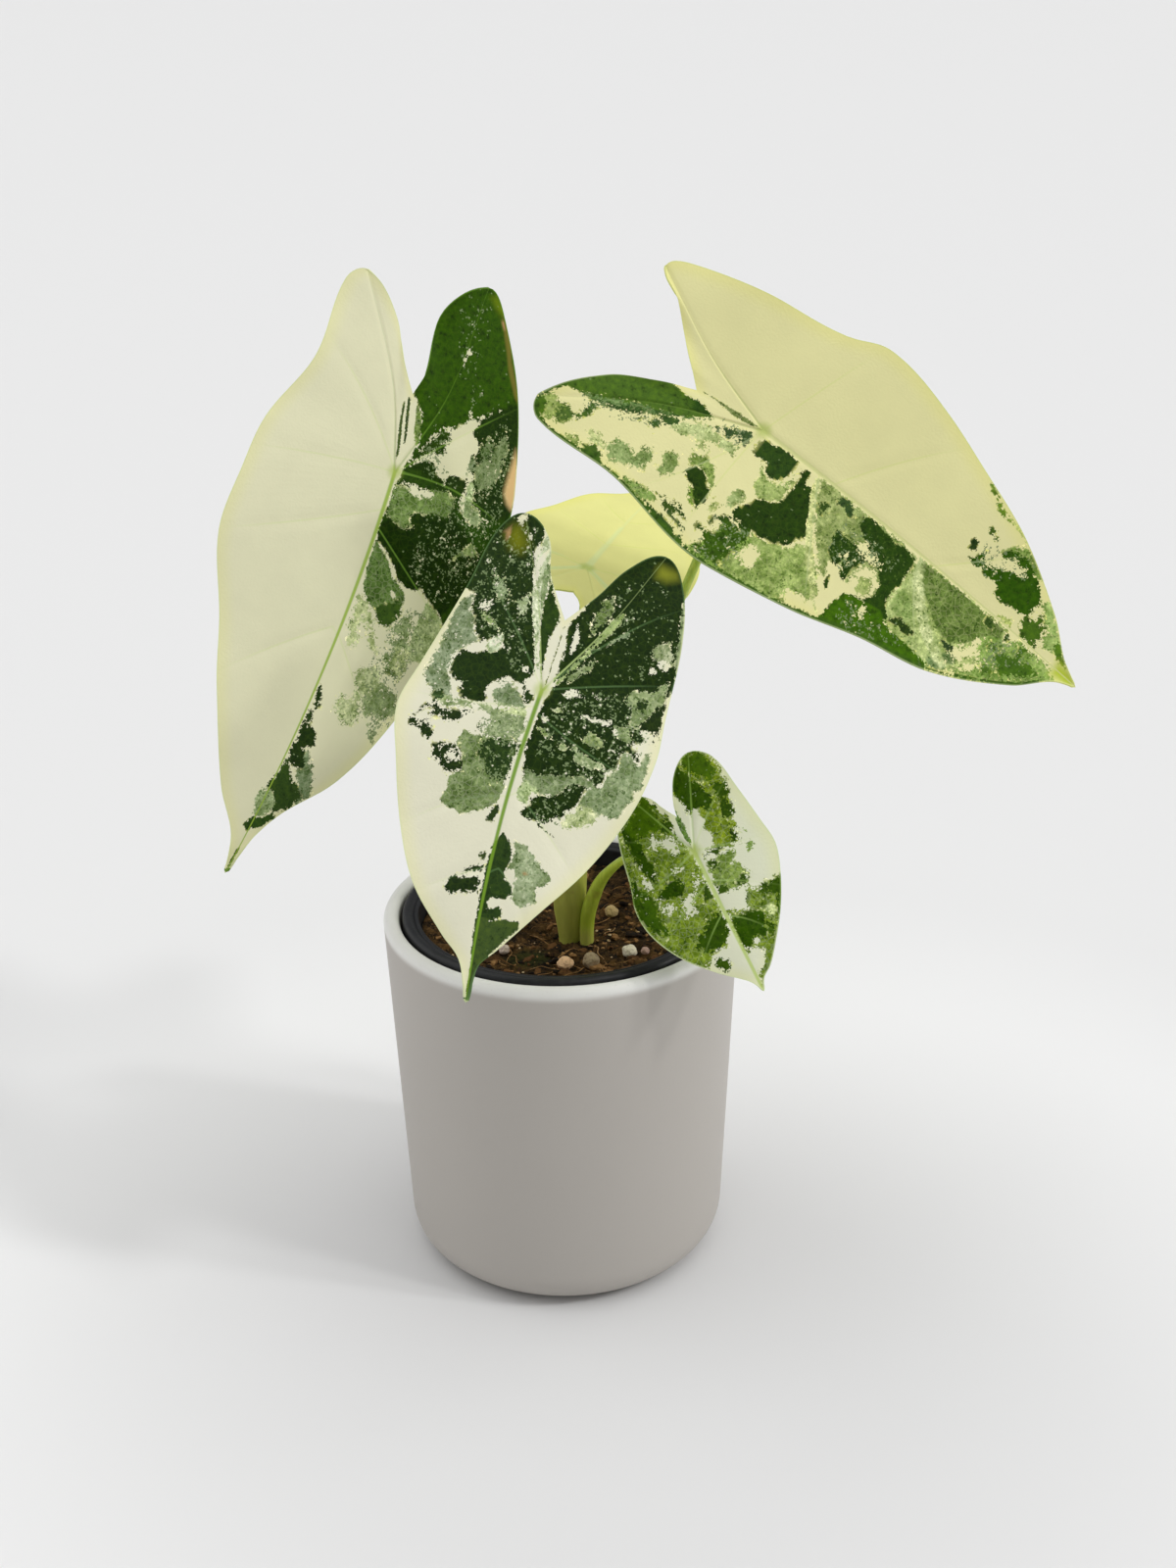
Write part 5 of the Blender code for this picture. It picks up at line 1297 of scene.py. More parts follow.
     (-70, -28, -72, -60, 40, -60, 132, -12, 130, -6, 90, -24, 40, -38, 0, -44, -40, -40, -62, -36,
      -64, -30)),
    ("speck", None, 0.6, (-58, -29, -30, -19, -30, -24, -54, -34)),
    ("speck", None, 0.6, (5, -32, 5, -50, 20, -50, 20, -32)),
    ("speck", None, 0.6, (41, -8, 41, -20, 52, -24, 56, -14, 64, -14, 66, -6, 50, -6)),
    ("speck", None, 0.7, (58, -28, 58, -40, 84, -34, 84, -28, 70, -28)),
    ("speck", None, 0.8, (84, 8, 84, 18, 104, 24, 104, 16, 96, 8)),
    ("speck", None, 0.8, (-15, -3, -15, -12, -2, -12, -2, -3)),
    ("speck", None, 0.8, (108, -2, 108, -18, 120, -12, 128, -2))]
leaf_piece("right_leaf", "leaf_right", right_leaf, right_patches,
           base=ink(236, 232, 171), rib=(*ink(212, 216, 146), 0.8),
           lobe_rib=(*ink(128, 158, 72), 0.5), lateral=(*ink(176, 192, 136), 0.6))
leaf_stalk("right_stalk", "stalk_right", right_leaf, Vector((0.0069, 0, 0.1583)))

# FRONT LEAF
# The blade nearest the eye, pointing down over the pot's rim. Both lobes are dark and speckled; the tip is
# cream with sage patches and a dark wedge.

front_leaf = dict(
    junction=(-0.004, -0.055, 0.251), tip=(-0.03, -0.11, 0.163), face=(0.07, -0.85, 0.52),
    fold=-4, curl=1, arch=0.004, bow=-0.003, ripple=0.0008, sinus=(-0.026, 0.002),
    right=[(-0.04, -0.006), (-0.054, -0.01), (-0.061, -0.02), (-0.053, -0.028), (-0.031, -0.033),
           (0, -0.042), (0.016, -0.046), (0.033, -0.042), (0.055, -0.035), (0.073, -0.0262),
           (0.087, -0.0132), (0.094, -0.0056)],
    left=[(-0.036, 0.01), (-0.05, 0.019), (-0.058, 0.031), (-0.049, 0.039), (-0.028, 0.043), (0, 0.043),
          (0.014, 0.043), (0.033, 0.039), (0.055, 0.029), (0.075, 0.0152), (0.088, 0.006), (0.095, 0.001)],
    left_rib=(-0.028, 0.0170), right_rib=(-0.030, -0.0080),
    stalk=[(0.0035, -0.006, 0.18), (0.001, -0.017, 0.222), (-0.003, -0.038, 0.244)],
    left_veins=[(0, 0, -22, 18, -44, 46), (0, 0, -8, 24, -14, 46), (8, 0, 18, 22, 24, 46),
                (36, 0, 46, 12, 60, 26), (62, 0, 70, 8, 80, 14)],
    right_veins=[(0, 0, -20, -14, -44, -36), (6, 0, 9, -20, 10, -50), (38, -2, 44, -20, 56, -36),
                 (62, -3, 68, -14, 76, -26)])
front_patches = [
    ("dark", (32, 50, 24), 0.5,
     (-63, -20, -60, -13, -55, -11.5, -52, -12, -48, -14, -44, -12.5, -38, -11.5, -33, -10.5, -28, -9.5,
      -20, -7, -12, -5, -5, -4, -2, -5.5, -1, -9.5, -2, -12, 0, -15, 2, -17.5, 5, -18, 8.5, -17, 9, -22,
      9, -25, 7, -27, 5, -28, 4, -29, 2, -31.5, -4, -31.5, -8, -29.5, -8, -24, -10, -21, -9, -19, -12, -16,
      -15, -18, -14, -21, -12, -24, -16, -27, -20, -27.5, -23, -30, -28, -29.5, -30, -36, -40, -36,
      -55, -33, -62, -25)),
    ("dark", (44, 66, 30), 0.4,
     (-44.5, -7.8, -40, -6, -36, -4.5, -30, -1.5, -25, 0.6, -22, -0.8, -18, -1.6, -12, -1.8, -4, -1.2,
      -8, -2.5, -14, -4, -20, -5.4, -26, -6.3, -31, -6.5, -36, -5.8, -40, -7)),
    ("over", (190, 200, 178), 0.5,
     (-56, -10.5, -50, -8, -43, -8, -38, -6.6, -30, -6.5, -22, -6, -14, -4.6, -6, -2.5, -10, -4.5, -18, -7,
      -26, -9.5, -34, -11, -44, -12.5)),
    ("over", (122, 142, 102), 0.5, (-45, -7.4, -36, -5.9, -28, -6.5, -34, -8, -42, -8.6)),
    ("hole", None, 0.5, (-50, -8.8, -46, -9.8, -40, -10.5, -34, -10.3, -36, -11.3, -44, -12, -47, -11)),
    ("sage", (126, 142, 116), 0.7,
     (-28, -29.5, -23, -30.5, -20, -28, -16, -27.5, -12, -25, -9, -29, -6, -31.8, 0, -32.3, 3, -31,
      6, -29.5, 9, -28.5, 10.5, -31, 11, -35, 8, -36.5, 6, -38.5, 2, -40.5, 0, -38.5, -4, -38.5, -8, -36.6,
      -20, -35.4, -24, -34, -27, -32)),
    ("hole", None, 0.5, (3, -26.5, 5, -25.5, 5.5, -28, 4, -30.5, 2.5, -29.5)),
    ("hole", None, 0.6, (0, -34, 2, -34.5, 1.5, -37, 0, -36.5)),
    ("over", (194, 206, 186), 0.5, (-16, -17, -13, -16.8, -10, -17.5, -9, -20, -11, -22, -14, -20.5)),
    ("hole", None, 0.6, (-13.5, -18.2, -11.5, -18, -11.5, -20.6, -13.3, -20)),
    ("over", (142, 166, 112), 0.5, (-23, -27, -21, -22, -19, -20.5, -17, -18, -18, -21, -21, -26)),
    ("hole", None, 0.8, (-27, -23.5, -24, -23.5, -23.8, -27, -27, -26.3)),
    ("over", (172, 186, 156), 0.8, (-32, -12, -27, -11, -24, -11.5, -25, -14, -28, -15.5, -30, -14)),
    ("over", (135, 155, 120), 1.4, (-36, -22, -30, -19, -28, -20, -31, -23.5, -35, -24.5)),
    ("stain", (116, 122, 20), 2.2, (-57, -20, -50, -16, -46, -18, -47, -22, -52, -25, -56, -23)),
    ("stain", (186, 150, 98), 1.0, (-55.5, -23.5, -52, -22, -49.5, -24, -53, -25.4)),
    ("hole", None, 0.5, (-54.3, -16, -51.5, -15.3, -51.3, -17.1, -53.7, -17.1)),
    ("hole", None, 0.5, (-61.5, -18, -58, -19.3, -56, -20.5, -57.5, -21.8, -60, -21)),
    ("sage", (122, 140, 110), 0.6,
     (0, -15, 0, -11, 1, -8, 4, -6, 7, -4, 8.5, -6, 8.5, -10, 8, -13.5, 6, -16, 3, -16.5, 2, -14,
      0.5, -13.5)),
    ("hole", None, 0.5,
     (0.5, -12.8, 3, -13.5, 2.5, -15.5, 5, -16.5, 7, -16.8, 8.5, -13.6, 8.6, -17, 3, -17.8, 0.5, -15)),
    ("dark", (40, 60, 30), 0.6, (1, -4, 3, -1.8, 5, -2.5, 5.5, -5, 3, -6, 0, -7, -1, -9, -3, -8, -2, -5)),
    ("hole", None, 0.5, (-4, -4, 0.8, -2.6, 1.2, -5.2, -0.8, -6.2, -3, -5.6)),
    ("hole", None, 0.6, (-7, -6.5, -5, -5.6, -5, -8.4, -6.6, -8.2)),
    ("over", (182, 196, 152), 0.3,
     (8.0, -3, 9.9, -3, 9.8, -16, 10.2, -28, 10.7, -33, 9, -33, 8.9, -24, 8.5, -14)),
    ("sage", (142, 158, 122), 0.8,
     (10.5, -3, 14, -2.5, 20, -4, 20, -8, 20, -13, 21, -14, 18, -15.5, 14, -14, 12, -16, 11, -20, 12, -26,
      13, -31, 11, -33, 10.2, -28, 10, -18)),
    ("hole", None, 0.8, (12, -15.5, 15, -15, 18, -17, 19, -21, 16, -21.5, 13, -19)),
    ("sage", (112, 132, 88), 0.45,
     (20, -13.5, 20, -3.5, 26, -4, 33, -4.6, 36, -4.6, 40, -5, 43, -8, 46, -13, 47.3, -17, 46, -21,
      44.5, -24.5, 41.5, -23.5, 38, -22.5, 36, -23.5, 34.5, -22, 33, -20, 30, -20.5, 27, -21, 25, -24,
      22, -23, 19, -22.5, 20, -18)),
    ("dark", (40, 60, 32), 1.8,
     (20, -3.5, 26, -4, 32, -4.5, 33, -7, 33, -10.5, 31, -12, 28, -13, 26, -15, 22, -14.5, 20, -11)),
    ("dark", (34, 50, 28), 1.1,
     (13, -21, 14, -23.5, 16, -24, 17, -26, 17, -30, 16.5, -32, 17, -34.5, 15, -33.5, 14, -35.5, 16, -38,
      13, -35.5, 12, -33.5, 14, -31, 14, -27, 13, -24)),
    ("dark", (50, 68, 40), 0.6, (14.5, -17.5, 16.5, -16.5, 19.5, -17.5, 18, -18.5, 15.5, -18.5)),
    ("dark", (50, 70, 42), 0.6, (6, -32.5, 9, -31.5, 11, -31, 11, -35, 9.5, -35.5, 8, -34)),
    ("dark", (32, 48, 26), 1.1,
     (18, -39.5, 20, -39, 19, -35.5, 20.5, -33.5, 23, -31.5, 25, -32, 25, -34, 22.5, -37, 22, -40,
      20.5, -41)),
    ("dark", (32, 48, 26), 1.1,
     (25, -25, 26, -22, 29, -21, 32, -19.5, 34, -21.5, 34, -25, 31, -28.5, 30, -30.5, 28, -29.5, 26.5, -31,
      25.5, -28)),
    ("hole", None, 0.7, (27, -23.5, 30, -22, 31, -24, 28.5, -26)),
    ("dark", (40, 58, 34), 0.5, (41.5, -5, 44, -4.5, 47.5, -5.5, 47.8, -8, 45, -7.8, 43, -6.5)),
    ("dark", (34, 50, 28), 1.0,
     (66.5, -5, 69, -5.5, 72, -5, 72, -8.5, 72, -11, 74, -13.5, 73, -15, 70, -16, 68, -14, 67, -12,
      66.5, -9)),
    ("dark", (44, 60, 36), 0.6, (62, -5, 64, -5.5, 65, -8.5, 65.8, -12, 63.5, -9, 62.5, -7)),
    ("dark", (60, 74, 50), 0.6, (58, -5.5, 60, -5, 60, -7.5, 58.5, -8)),
    ("dark", (28, 46, 18), 0.5,
     (-63, 24, -60, 36, -48, 42, -38, 48, -14, 47, -11, 42.5, -6, 41.8, 5, 41.5, 4.5, 37, 6, 35.5, 8, 38,
      10, 36.5, 10, 33, 12, 34, 12.5, 36.5, 16.5, 38, 16, 35.5, 13.5, 34, 14, 31, 20, 30.5, 21, 28.5,
      22, 27.5, 26, 27, 28, 25, 27, 24, 29, 22.5, 32, 21, 35, 20, 37.5, 19, 38, 16.5, 40, 17.5, 41, 15,
      43, 13, 44.5, 11, 43.5, 9, 44, 5, 42.5, 2, 40.5, 3.5, 39, 6, 37, 4.5, 35, 7, 34.5, 12, 34, 5, 30, 0.5,
      20, -1, 12, 0.4, 8, 0.8, 4, 1.6, 0, 3.0, -3, 4, -8, 4.2, -12, 4.4, -17, 4.4, -25, 3.8, -27, 5, -30, 7,
      -34, 8, -40, 11, -48, 14, -54, 20)),
    ("stain", (134, 140, 40), 1.6, (-55, 30, -54, 36.5, -51, 37, -49, 33, -49.5, 29, -53, 28.5)),
    ("over", (150, 170, 115), 0.5,
     (-34.5, 21.5, -30, 21, -25, 18, -18, 13.8, -10, 9, -4, 5.2, -3, 4, -5, 4.6, -11, 8, -19, 12.8, -26, 16,
      -31, 18.5)),
    ("over", (120, 140, 110), 0.5, (-28, 24, -26, 25, -24, 21.5, -21, 18, -23, 19.5, -26, 22)),
    ("over", (140, 155, 120), 0.7, (-15.5, 15.5, -12, 14.5, -9, 12, -6, 9, -5, 7.5, -8, 8.5, -12, 12)),
    ("over", (110, 130, 80), 1.2, (-38, 16, -34, 17, -30, 15.5, -26, 14, -24, 12, -30, 12.5, -36, 13.5)),
    ("over", (150, 162, 132), 0.5,
     (-28.5, 39, -26, 38.5, -24.5, 40.8, -22, 41, -20, 41, -18, 39, -20, 38, -20.5, 34, -24, 33.2, -26, 35,
      -27, 37)),
    ("hole", None, 0.5, (-21.5, 40, -19, 40.3, -17.5, 38, -19.5, 36.5, -21, 37.5)),
    ("hole", None, 0.4, (-17.6, 36, -16, 37.2, -15.4, 34.5, -17.6, 33.4)),
    ("over", (122, 140, 102), 0.6,
     (-44, 40.5, -38, 42.5, -30, 45, -20, 45, -14, 44, -20, 42, -30, 41.5, -38, 40.5)),
    ("over", (135, 152, 112), 0.6,
     (-14.5, 41, -10, 41.3, -7, 41.5, -4, 39.5, -1, 37.5, 1, 36, 4, 34.5, 5.5, 32, 9, 33, 10.5, 31.5,
      10, 29, 9, 27, 6, 26.5, 5.5, 29, 4, 31, 1, 31.5, -1, 30, -2.5, 31, -3, 28.5, -6.5, 28.5, -7.5, 29.5,
      -8.5, 32, -9.5, 35, -10, 37.5, -12, 38.5)),
    ("dark", (36, 54, 28), 0.6, (-5, 35.5, -1, 35.3, -2, 32.5, -4.5, 32, -6, 34)),
    ("dark", (30, 46, 20), 0.5, (-6.5, 41.6, 0, 42, 5, 41.5, 4.5, 37, 4.5, 34.5, 1, 36.2, -2, 38.5)),
    ("hole", None, 0.3, (6.5, 28, 9, 28.4, 9.2, 26.8, 7, 26.4)),
    ("hole", None, 0.6, (5, 41.8, 11, 42, 11.5, 37.5, 9.5, 37, 8.5, 38.5, 6, 36.5, 5.2, 37)),
    ("dark", (36, 52, 26), 0.9, (6, 41.5, 9, 41.8, 8.5, 40.5, 9, 38.5, 7.5, 39.5, 6, 40.5)),
    ("hole", None, 0.5, (-3, 11, -1, 13.5, 0.5, 10.5, -0.4, 6.5, -2, 8)),
    ("hole", None, 0.4, (-4, 18.5, -3, 20.5, -1.3, 20, -2, 18)),
    ("hole", None, 0.4, (8, 2.5, 10, 5.2, 10.7, 3, 9.5, 2)),
    ("hole", None, 0.6, (4.6, 25, 6, 25, 6.4, 20, 6.4, 15, 5, 15, 5, 20)),
    ("over", (168, 182, 146), 0.4, (4, 9, 5.5, 9.5, 6.5, 6, 5.5, 4.5, 4.5, 7)),
    ("over", (142, 158, 112), 0.5, (9.5, 19, 12, 25, 14.5, 25, 15, 21, 13.5, 16.5, 11.5, 18)),
    ("over", (150, 165, 130), 0.6,
     (16, 15, 17.5, 18, 19, 23, 20.3, 26, 22, 27.5, 21.5, 23, 23, 22, 22, 19, 20.5, 16, 17, 14.5)),
    ("over", (170, 184, 150), 0.5, (16, 11, 17, 13, 18.5, 12, 18.5, 10, 16.5, 10)),
    ("over", (150, 168, 118), 0.4, (12, 1.5, 14, 6, 15.5, 7, 15, 4, 13, 1.5)),
    ("sage", (128, 146, 112), 0.5,
     (10.5, 40.5, 14, 41, 20, 40.6, 25, 40, 26.5, 37.5, 29, 38.5, 31.5, 36, 33.5, 36, 36.5, 34.8, 37, 32,
      36.2, 29, 38, 27.5, 36.5, 26, 35.5, 22, 35, 20.5, 32, 21.5, 29.5, 22.5, 27.5, 25, 27.5, 26.5, 24, 28,
      21, 29, 20, 30.8, 16, 30.5, 14, 31, 13.5, 34, 16, 35.5, 17, 37.5, 14, 38.3)),
    ("over", (120, 138, 102), 0.5,
     (29, 23, 28, 25, 26, 23.5, 25.5, 20, 26.5, 17, 27, 13, 27.5, 9, 28.5, 5, 27, 1, 33, 1, 35.5, 4,
      34.5, 8, 34.5, 12, 32, 14.5, 29.5, 16.5, 28.5, 19)),
    ("sage", (188, 198, 160), 0.7,
     (35, 22, 36, 26, 38, 28, 41, 26, 42, 23, 43, 20, 44, 17, 42, 17, 39.5, 17.5, 37.5, 19.5, 35.5, 20.5)),
    ("over", (172, 190, 146), 0.5, (34, 6.5, 36, 4, 38, 4.3, 40, 3, 38, 0.5, 35, -0.5, 32, 2, 33, 5)),
    ("dark", (36, 54, 26), 0.4, (44, 9, 46, 12.5, 47.8, 15.8, 46.8, 12.5, 45, 9.5)),
    ("hole", None, 0.4, (-26, 6.4, -22, 8.1, -17, 7.8, -15, 6.2, -20, 6.2)),
    ("hole", None, 0.3,
     (-26, 2.8, -18, 3.4, -12, 3.2, -5, 2.5, 0, 1.2, -4, 1.2, -12, 1.6, -18, 2.0, -26, 2.6)),
    ("dark", (44, 62, 28), 0.35, (-24.5, 4.3, -16, 5.2, -8, 4.6, -3, 3.2, -8, 3.5, -16, 4.2, -24.5, 3.7)),
    ("dark", (52, 72, 34), 0.3,
     (-26, 2.6, -18, 1.7, -12, 1.1, -4, 0.8, 0, 0.5, -6, 1.3, -14, 2.0, -20, 2.4)),
    ("sage", (142, 158, 128), 0.5,
     (51.8, 3, 53, 8, 56, 11, 59, 14.5, 60.5, 18, 62.5, 17.5, 65, 15.5, 65.5, 13.5, 70, 14.5, 72, 11.5,
      73, 10, 71, 6, 68, 6.5, 66, 6, 65, 4.5, 62, 2.5, 58, 3.5, 55, 4)),
    ("hole", None, 0.4, (61, 5, 64, 6.5, 66, 5.5, 65, 4, 63, 2.5, 61.5, 3.5)),
    ("stain", (176, 122, 62), 0.5, (61, 8.8, 61.6, 10, 62.2, 8.6, 61.4, 8.0)),
    ("dark", (44, 64, 36), 0.4,
     (50, -1.5, 52, 1, 55, 3, 58, 3.3, 62, 2.3, 65, 3, 66, 5.5, 69, 6.5, 71.5, 4.5, 72, 0, 73, -1, 76, -0.5,
      74, 3, 75, 4, 77, 4.5, 79, 2, 80, 0, 82, -3, 70, -4, 56, -4)),
    ("dark", (66, 84, 50), 0.3,
     (77.3, 10.5, 80, 11, 84, 8, 88, 5, 92, 3, 98, 2, 106, 1.6, 106, -0.6, 98, -1, 92, -2, 86, -3, 79, -3.5,
      79.5, 2, 78, 5)),
    ("speck", None, 0.5,
     (-58, -14, -50, -14, -30, -11, -6, -6, -2, -12, -12, -16, -16, -26, -30, -31, -54, -28)),
    ("speck", None, 0.4, (-5, 10, -6, 30, 6, 40, 14, 38, 22, 30, 28, 26, 28, 4, 12, 2, 2, 6)),
    ("speck", None, 0.5, (28, 20, 44, 16, 44, 4, 34, 6)),
    ("speck", None, 0.7, (18, -3, 18, -14, 34, -12, 34, -4)),
    ("speck", 0.35, 0.8, (-52, 22, -48, 36, -30, 42, -14, 38, -8, 20, -20, 8, -36, 12)),
    ("speck", None, 0.6, (10, -2, 10, -20, 20, -18, 20, -3)),
    ("speck", None, 0.7, (-28, -29, -20, -28, -8, -30, 6, -30, 10, -36, 0, -40, -20, -36))]
leaf_piece("front_leaf", "leaf_front", front_leaf, front_patches,
           base=ink(234, 232, 206), rib=(*ink(118, 156, 48), 0.95),
           lobe_rib=(*ink(176, 198, 124), 0.9), lateral=(*ink(92, 124, 74), 0.6))
leaf_stalk("front_stalk", "stalk_front", front_leaf, Vector((0.0032, -0.0037, 0.1583)))

# SMALL LEAF
# The youngest blade, low on the right, marbled in fresh greens with cream between. Its stalk stands in the
# soil beside the crown.

small_leaf = dict(
    junction=(0.048, -0.045, 0.186), tip=(0.071, -0.075, 0.146), face=(-0.12, -0.83, 0.55),
    fold=-4, curl=1, arch=0.002, bow=0, ripple=0.0004, sinus=(-0.014, 0.0),
    right=[(-0.019, -0.003), (-0.025, -0.006), (-0.028, -0.012), (-0.024, -0.019), (-0.014, -0.023),
           (0.002, -0.026), (0.01, -0.028), (0.02, -0.027), (0.032, -0.021), (0.042, -0.012),
           (0.048, -0.005), (0.051, -0.002)],
    left=[(-0.019, 0.001), (-0.029, 0.006), (-0.034, 0.014), (-0.029, 0.021), (-0.014, 0.024), (0, 0.026),
          (0.01, 0.027), (0.02, 0.024), (0.032, 0.018), (0.042, 0.011), (0.048, 0.006), (0.051, 0.002)],
    stalk=[(0.01, -0.0042, 0.139), (0.013, -0.006, 0.1508), (0.0172, -0.0102, 0.1605),
           (0.026, -0.0205, 0.1725), (0.04, -0.034, 0.1805)],
    left_veins=[(0, 0, -10, 10, -20, 24), (0, 0, 3, 12, 6, 28), (12, 0, 18, 12, 26, 24),
                (26, 0, 32, 8, 40, 14)],
    right_veins=[(0, 0, -8, -10, -16, -24), (0, 0, 4, -12, 6, -30), (12, 0, 18, -12, 26, -26),
                 (24, 0, 30, -8, 38, -16)])
small_patches = [
    ("sage", (118, 140, 32), 0.9,
     (-38, 13, -35, 20, -29, 21.4, -22, 21.8, -16, 21, -12, 20, -8, 19.5, -5, 17.5, -2, 18, 0, 16, 4, 16,
      4, 12, 3, 8, 3, 3, 2, 2.5, 1.5, 6, 0, 8, -4, 8, -6, 6.5, -8, 8, -13, 7.5, -14, 5, -12, 4.5, -20, 3.8,
      -22, 1.5, -30, 4, -36, 8)),
    ("dark", (48, 76, 0), 0.8,
     (-34, 8.5, -31, 5, -26, 2, -20, 3.4, -13, 4.5, -14, 7, -13, 9.5, -10, 11, -14, 14, -20, 13, -24, 10.5,
      -28, 9.5)),
    ("dark", (46, 72, 4), 1.0, (-30, 14, -26, 16.5, -24, 15.5, -25, 13.5, -28, 13)),
    ("dark", (50, 78, 2), 1.0, (-20, 17, -18, 21, -14, 20.5, -13, 18, -16, 15.5, -19, 16)),
    ("dark", (46, 72, 4), 1.0, (-14, 18, -10, 19.5, -6, 19, -5, 16.5, -7, 14.5, -11, 15.5)),
    ("dark", (40, 62, 8), 0.8, (-2, 15, 2, 16.5, 4, 15.5, 3, 13, 0, 13.5)),
    ("dark", (52, 76, 22), 0.6, (2, 9, 4, 10, 4.5, 6, 3, 2.5, 2, 3)),
    ("sage", (124, 148, 74), 0.9,
     (4, 13.5, 7, 13.5, 9, 10, 11, 12.5, 15, 13.5, 18.5, 12, 19, 8, 18.5, 3, 16, 1.5, 10, 1.5, 5, 2.5, 6, 5,
      5, 8)),
    ("dark", (54, 78, 22), 0.8, (6, 5, 8.5, 5.5, 9, 2.5, 6, 2.5)),
    ("dark", (54, 78, 22), 0.8, (15, 12, 17, 13, 18.5, 11.5, 18, 8, 16, 9)),
    ("dark", (54, 80, 16), 0.8, (15, 4.5, 18.5, 4.5, 18, 1.5, 15.5, 1.5)),
    ("sage", (112, 142, 66), 0.5, (5, 19, 7, 20.5, 8.5, 19, 8.5, 16.5, 6.5, 17)),
    ("sage", (120, 148, 76), 0.5, (0, 18.5, 0.5, 20.2, 2, 19.5, 2, 18)),
    ("sage", (110, 134, 44), 0.9,
     (21, 24.5, 21, 17, 22, 14, 20, 12, 20, 10, 24, 8.5, 27, 8, 26, 4, 24, 1, 30, 0.3, 38, 0.4, 41, 1.5,
      40.5, 4, 42.5, 7, 45, 5, 50, 1, 56, 0, 50, 10, 40, 18, 28, 25)),
    ("dark", (48, 76, 2), 0.8, (21, 25, 27, 24, 36, 19, 44, 12, 36, 15.5, 27, 19, 24, 17, 22, 16)),
    ("dark", (52, 78, 12), 1.0, (21, 17, 24, 18, 26, 15, 23, 14)),
    ("dark", (46, 76, 0), 0.8,
     (28, 8, 30, 12, 34, 12, 38, 9, 37, 5, 40, 2.5, 38, 0.5, 30, 0.5, 27, 2, 28, 5)),
    ("dark", (52, 80, 4), 1.0, (33, 14, 37, 14, 39, 11, 36, 11)),
    ("hole", None, 0.4, (37, 6.5, 39, 6.8, 39.5, 5, 37.5, 4.5)),
    ("over", (192, 206, 152), 0.6, (29, 16, 32, 16.5, 32, 14, 29.5, 13.5)),
    ("sage", (112, 136, 40), 0.7,
     (-30, -8, -20, -5.5, -15, -2.5, -9, -3.5, -5, -3, 0, -1, 8, -0.5, 14, -1, 20, -0.8, 28, -0.8, 33, -2.5,
      36, -5, 35.5, -8, 37, -11, 40, -14, 36, -18, 28, -24, 20, -28, 10, -31, 0, -30, -10, -27, -24, -24)),
    ("hole", None, 0.9, (-9, -6, -6, -4.5, -2, -5.5, -4, -8, -6, -9.5, -9, -9)),
    ("hole", None, 1.1, (2, -8, 4, -6, 5, -9, 4, -11)),
    ("hole", None, 1.1, (-11, -11, -8, -10, -8, -13)),
    ("hole", None, 0.9, (-4, -19, 0, -17, 3, -18, 6, -19, 4, -21.5, 1, -21.5, -2, -20)),
    ("hole", None, 1.0,
     (6, -3, 10, -3.5, 14, -7, 15, -11, 17, -13, 20, -13, 20, -9, 16, -8, 13, -5, 11, -2.5)),
    ("hole", None, 1.0, (8, -22, 11, -19, 15, -18.5, 17, -16, 14, -15, 12, -18, 8, -20)),
    ("hole", None, 0.8, (2, -25, 5, -26.5, 7, -26, 4, -24.5)),
    ("dark", (52, 80, 8), 1.0, (-23, -5.5, -20, -5, -19.5, -7, -22, -7)),
    ("dark", (52, 78, 12), 1.0, (-15, -3.5, -12, -3, -9, -4.5, -12, -7.5, -16, -5.5)),
    ("dark", (44, 72, 0), 1.0,
     (-20, -16, -12, -15.5, -6, -16.5, -2, -15, 4, -16.5, 5, -18, 2, -19.5, -4, -20, -10, -20.5, -18, -20)),
    ("dark", (42, 70, 0), 0.8, (7, -8.5, 10, -8.5, 12.5, -11, 12, -15, 10, -19.5, 8, -18, 6, -13.5)),
    ("dark", (50, 78, 8), 1.0,
     (24, -1, 30, -1.2, 34, -4, 35.5, -8, 34, -13, 30, -14.5, 28, -11, 25, -7, 23, -3.5)),
    ("dark", (46, 74, 0), 1.0,
     (-8, -22, 0, -24, 4, -22.5, 10, -24.5, 16, -22, 22, -24, 14, -27.5, 4, -27.5, -4, -24)),
    ("dark", (54, 78, 22), 0.8, (12, -1.5, 16, -3.5, 18.5, -4.5, 18, -1.5, 15, -1)),
    ("dark", (56, 84, 14), 1.0, (37.5, -8.5, 40, -6, 44, -7.5, 43, -9.5, 40, -11, 38, -10.5)),
    ("dark", (68, 98, 8), 1.2, (-27, -8, -20, -6, -13, -7, -12, -12, -15, -17, -19, -18, -24, -13)),
    ("dark", (70, 100, 10), 1.2, (-34, 12, -32, 18, -24, 20, -20, 17, -24, 13, -29, 10)),
    ("dark", (60, 90, 12), 1.2, (4, -22, 10, -20, 18, -21, 24, -20, 20, -25, 8, -26)),
    ("sage", (96, 130, 60), 0.25, (-17, 0.5, -12, 1, -6, 1, -1, 0.3, -6, -1, -12, -1, -17, -0.2)),
    ("hole", None, 0.3, (-15, -1, -8, -1.4, -2, -1, -8, -2.5, -14, -2)),
    ("speck", -0.2, 1.0, (-34, 6, -32, 18, -10, 20, 4, 16, 18, 12, 28, 20, 42, 10, 40, 2, 0, 4)),
    ("speck", -0.2, 1.0, (-24, -8, -20, -22, 10, -28, 34, -16, 36, -6, 10, -2, -10, -4))]
leaf_piece("small_leaf", "leaf_small", small_leaf, small_patches,
           base=ink(228, 231, 203), rib=(*ink(186, 208, 110), 0.8),
           lobe_rib=(*ink(150, 184, 84), 0.6), lateral=(*ink(150, 182, 92), 0.6), rows=(30, 70, 30))
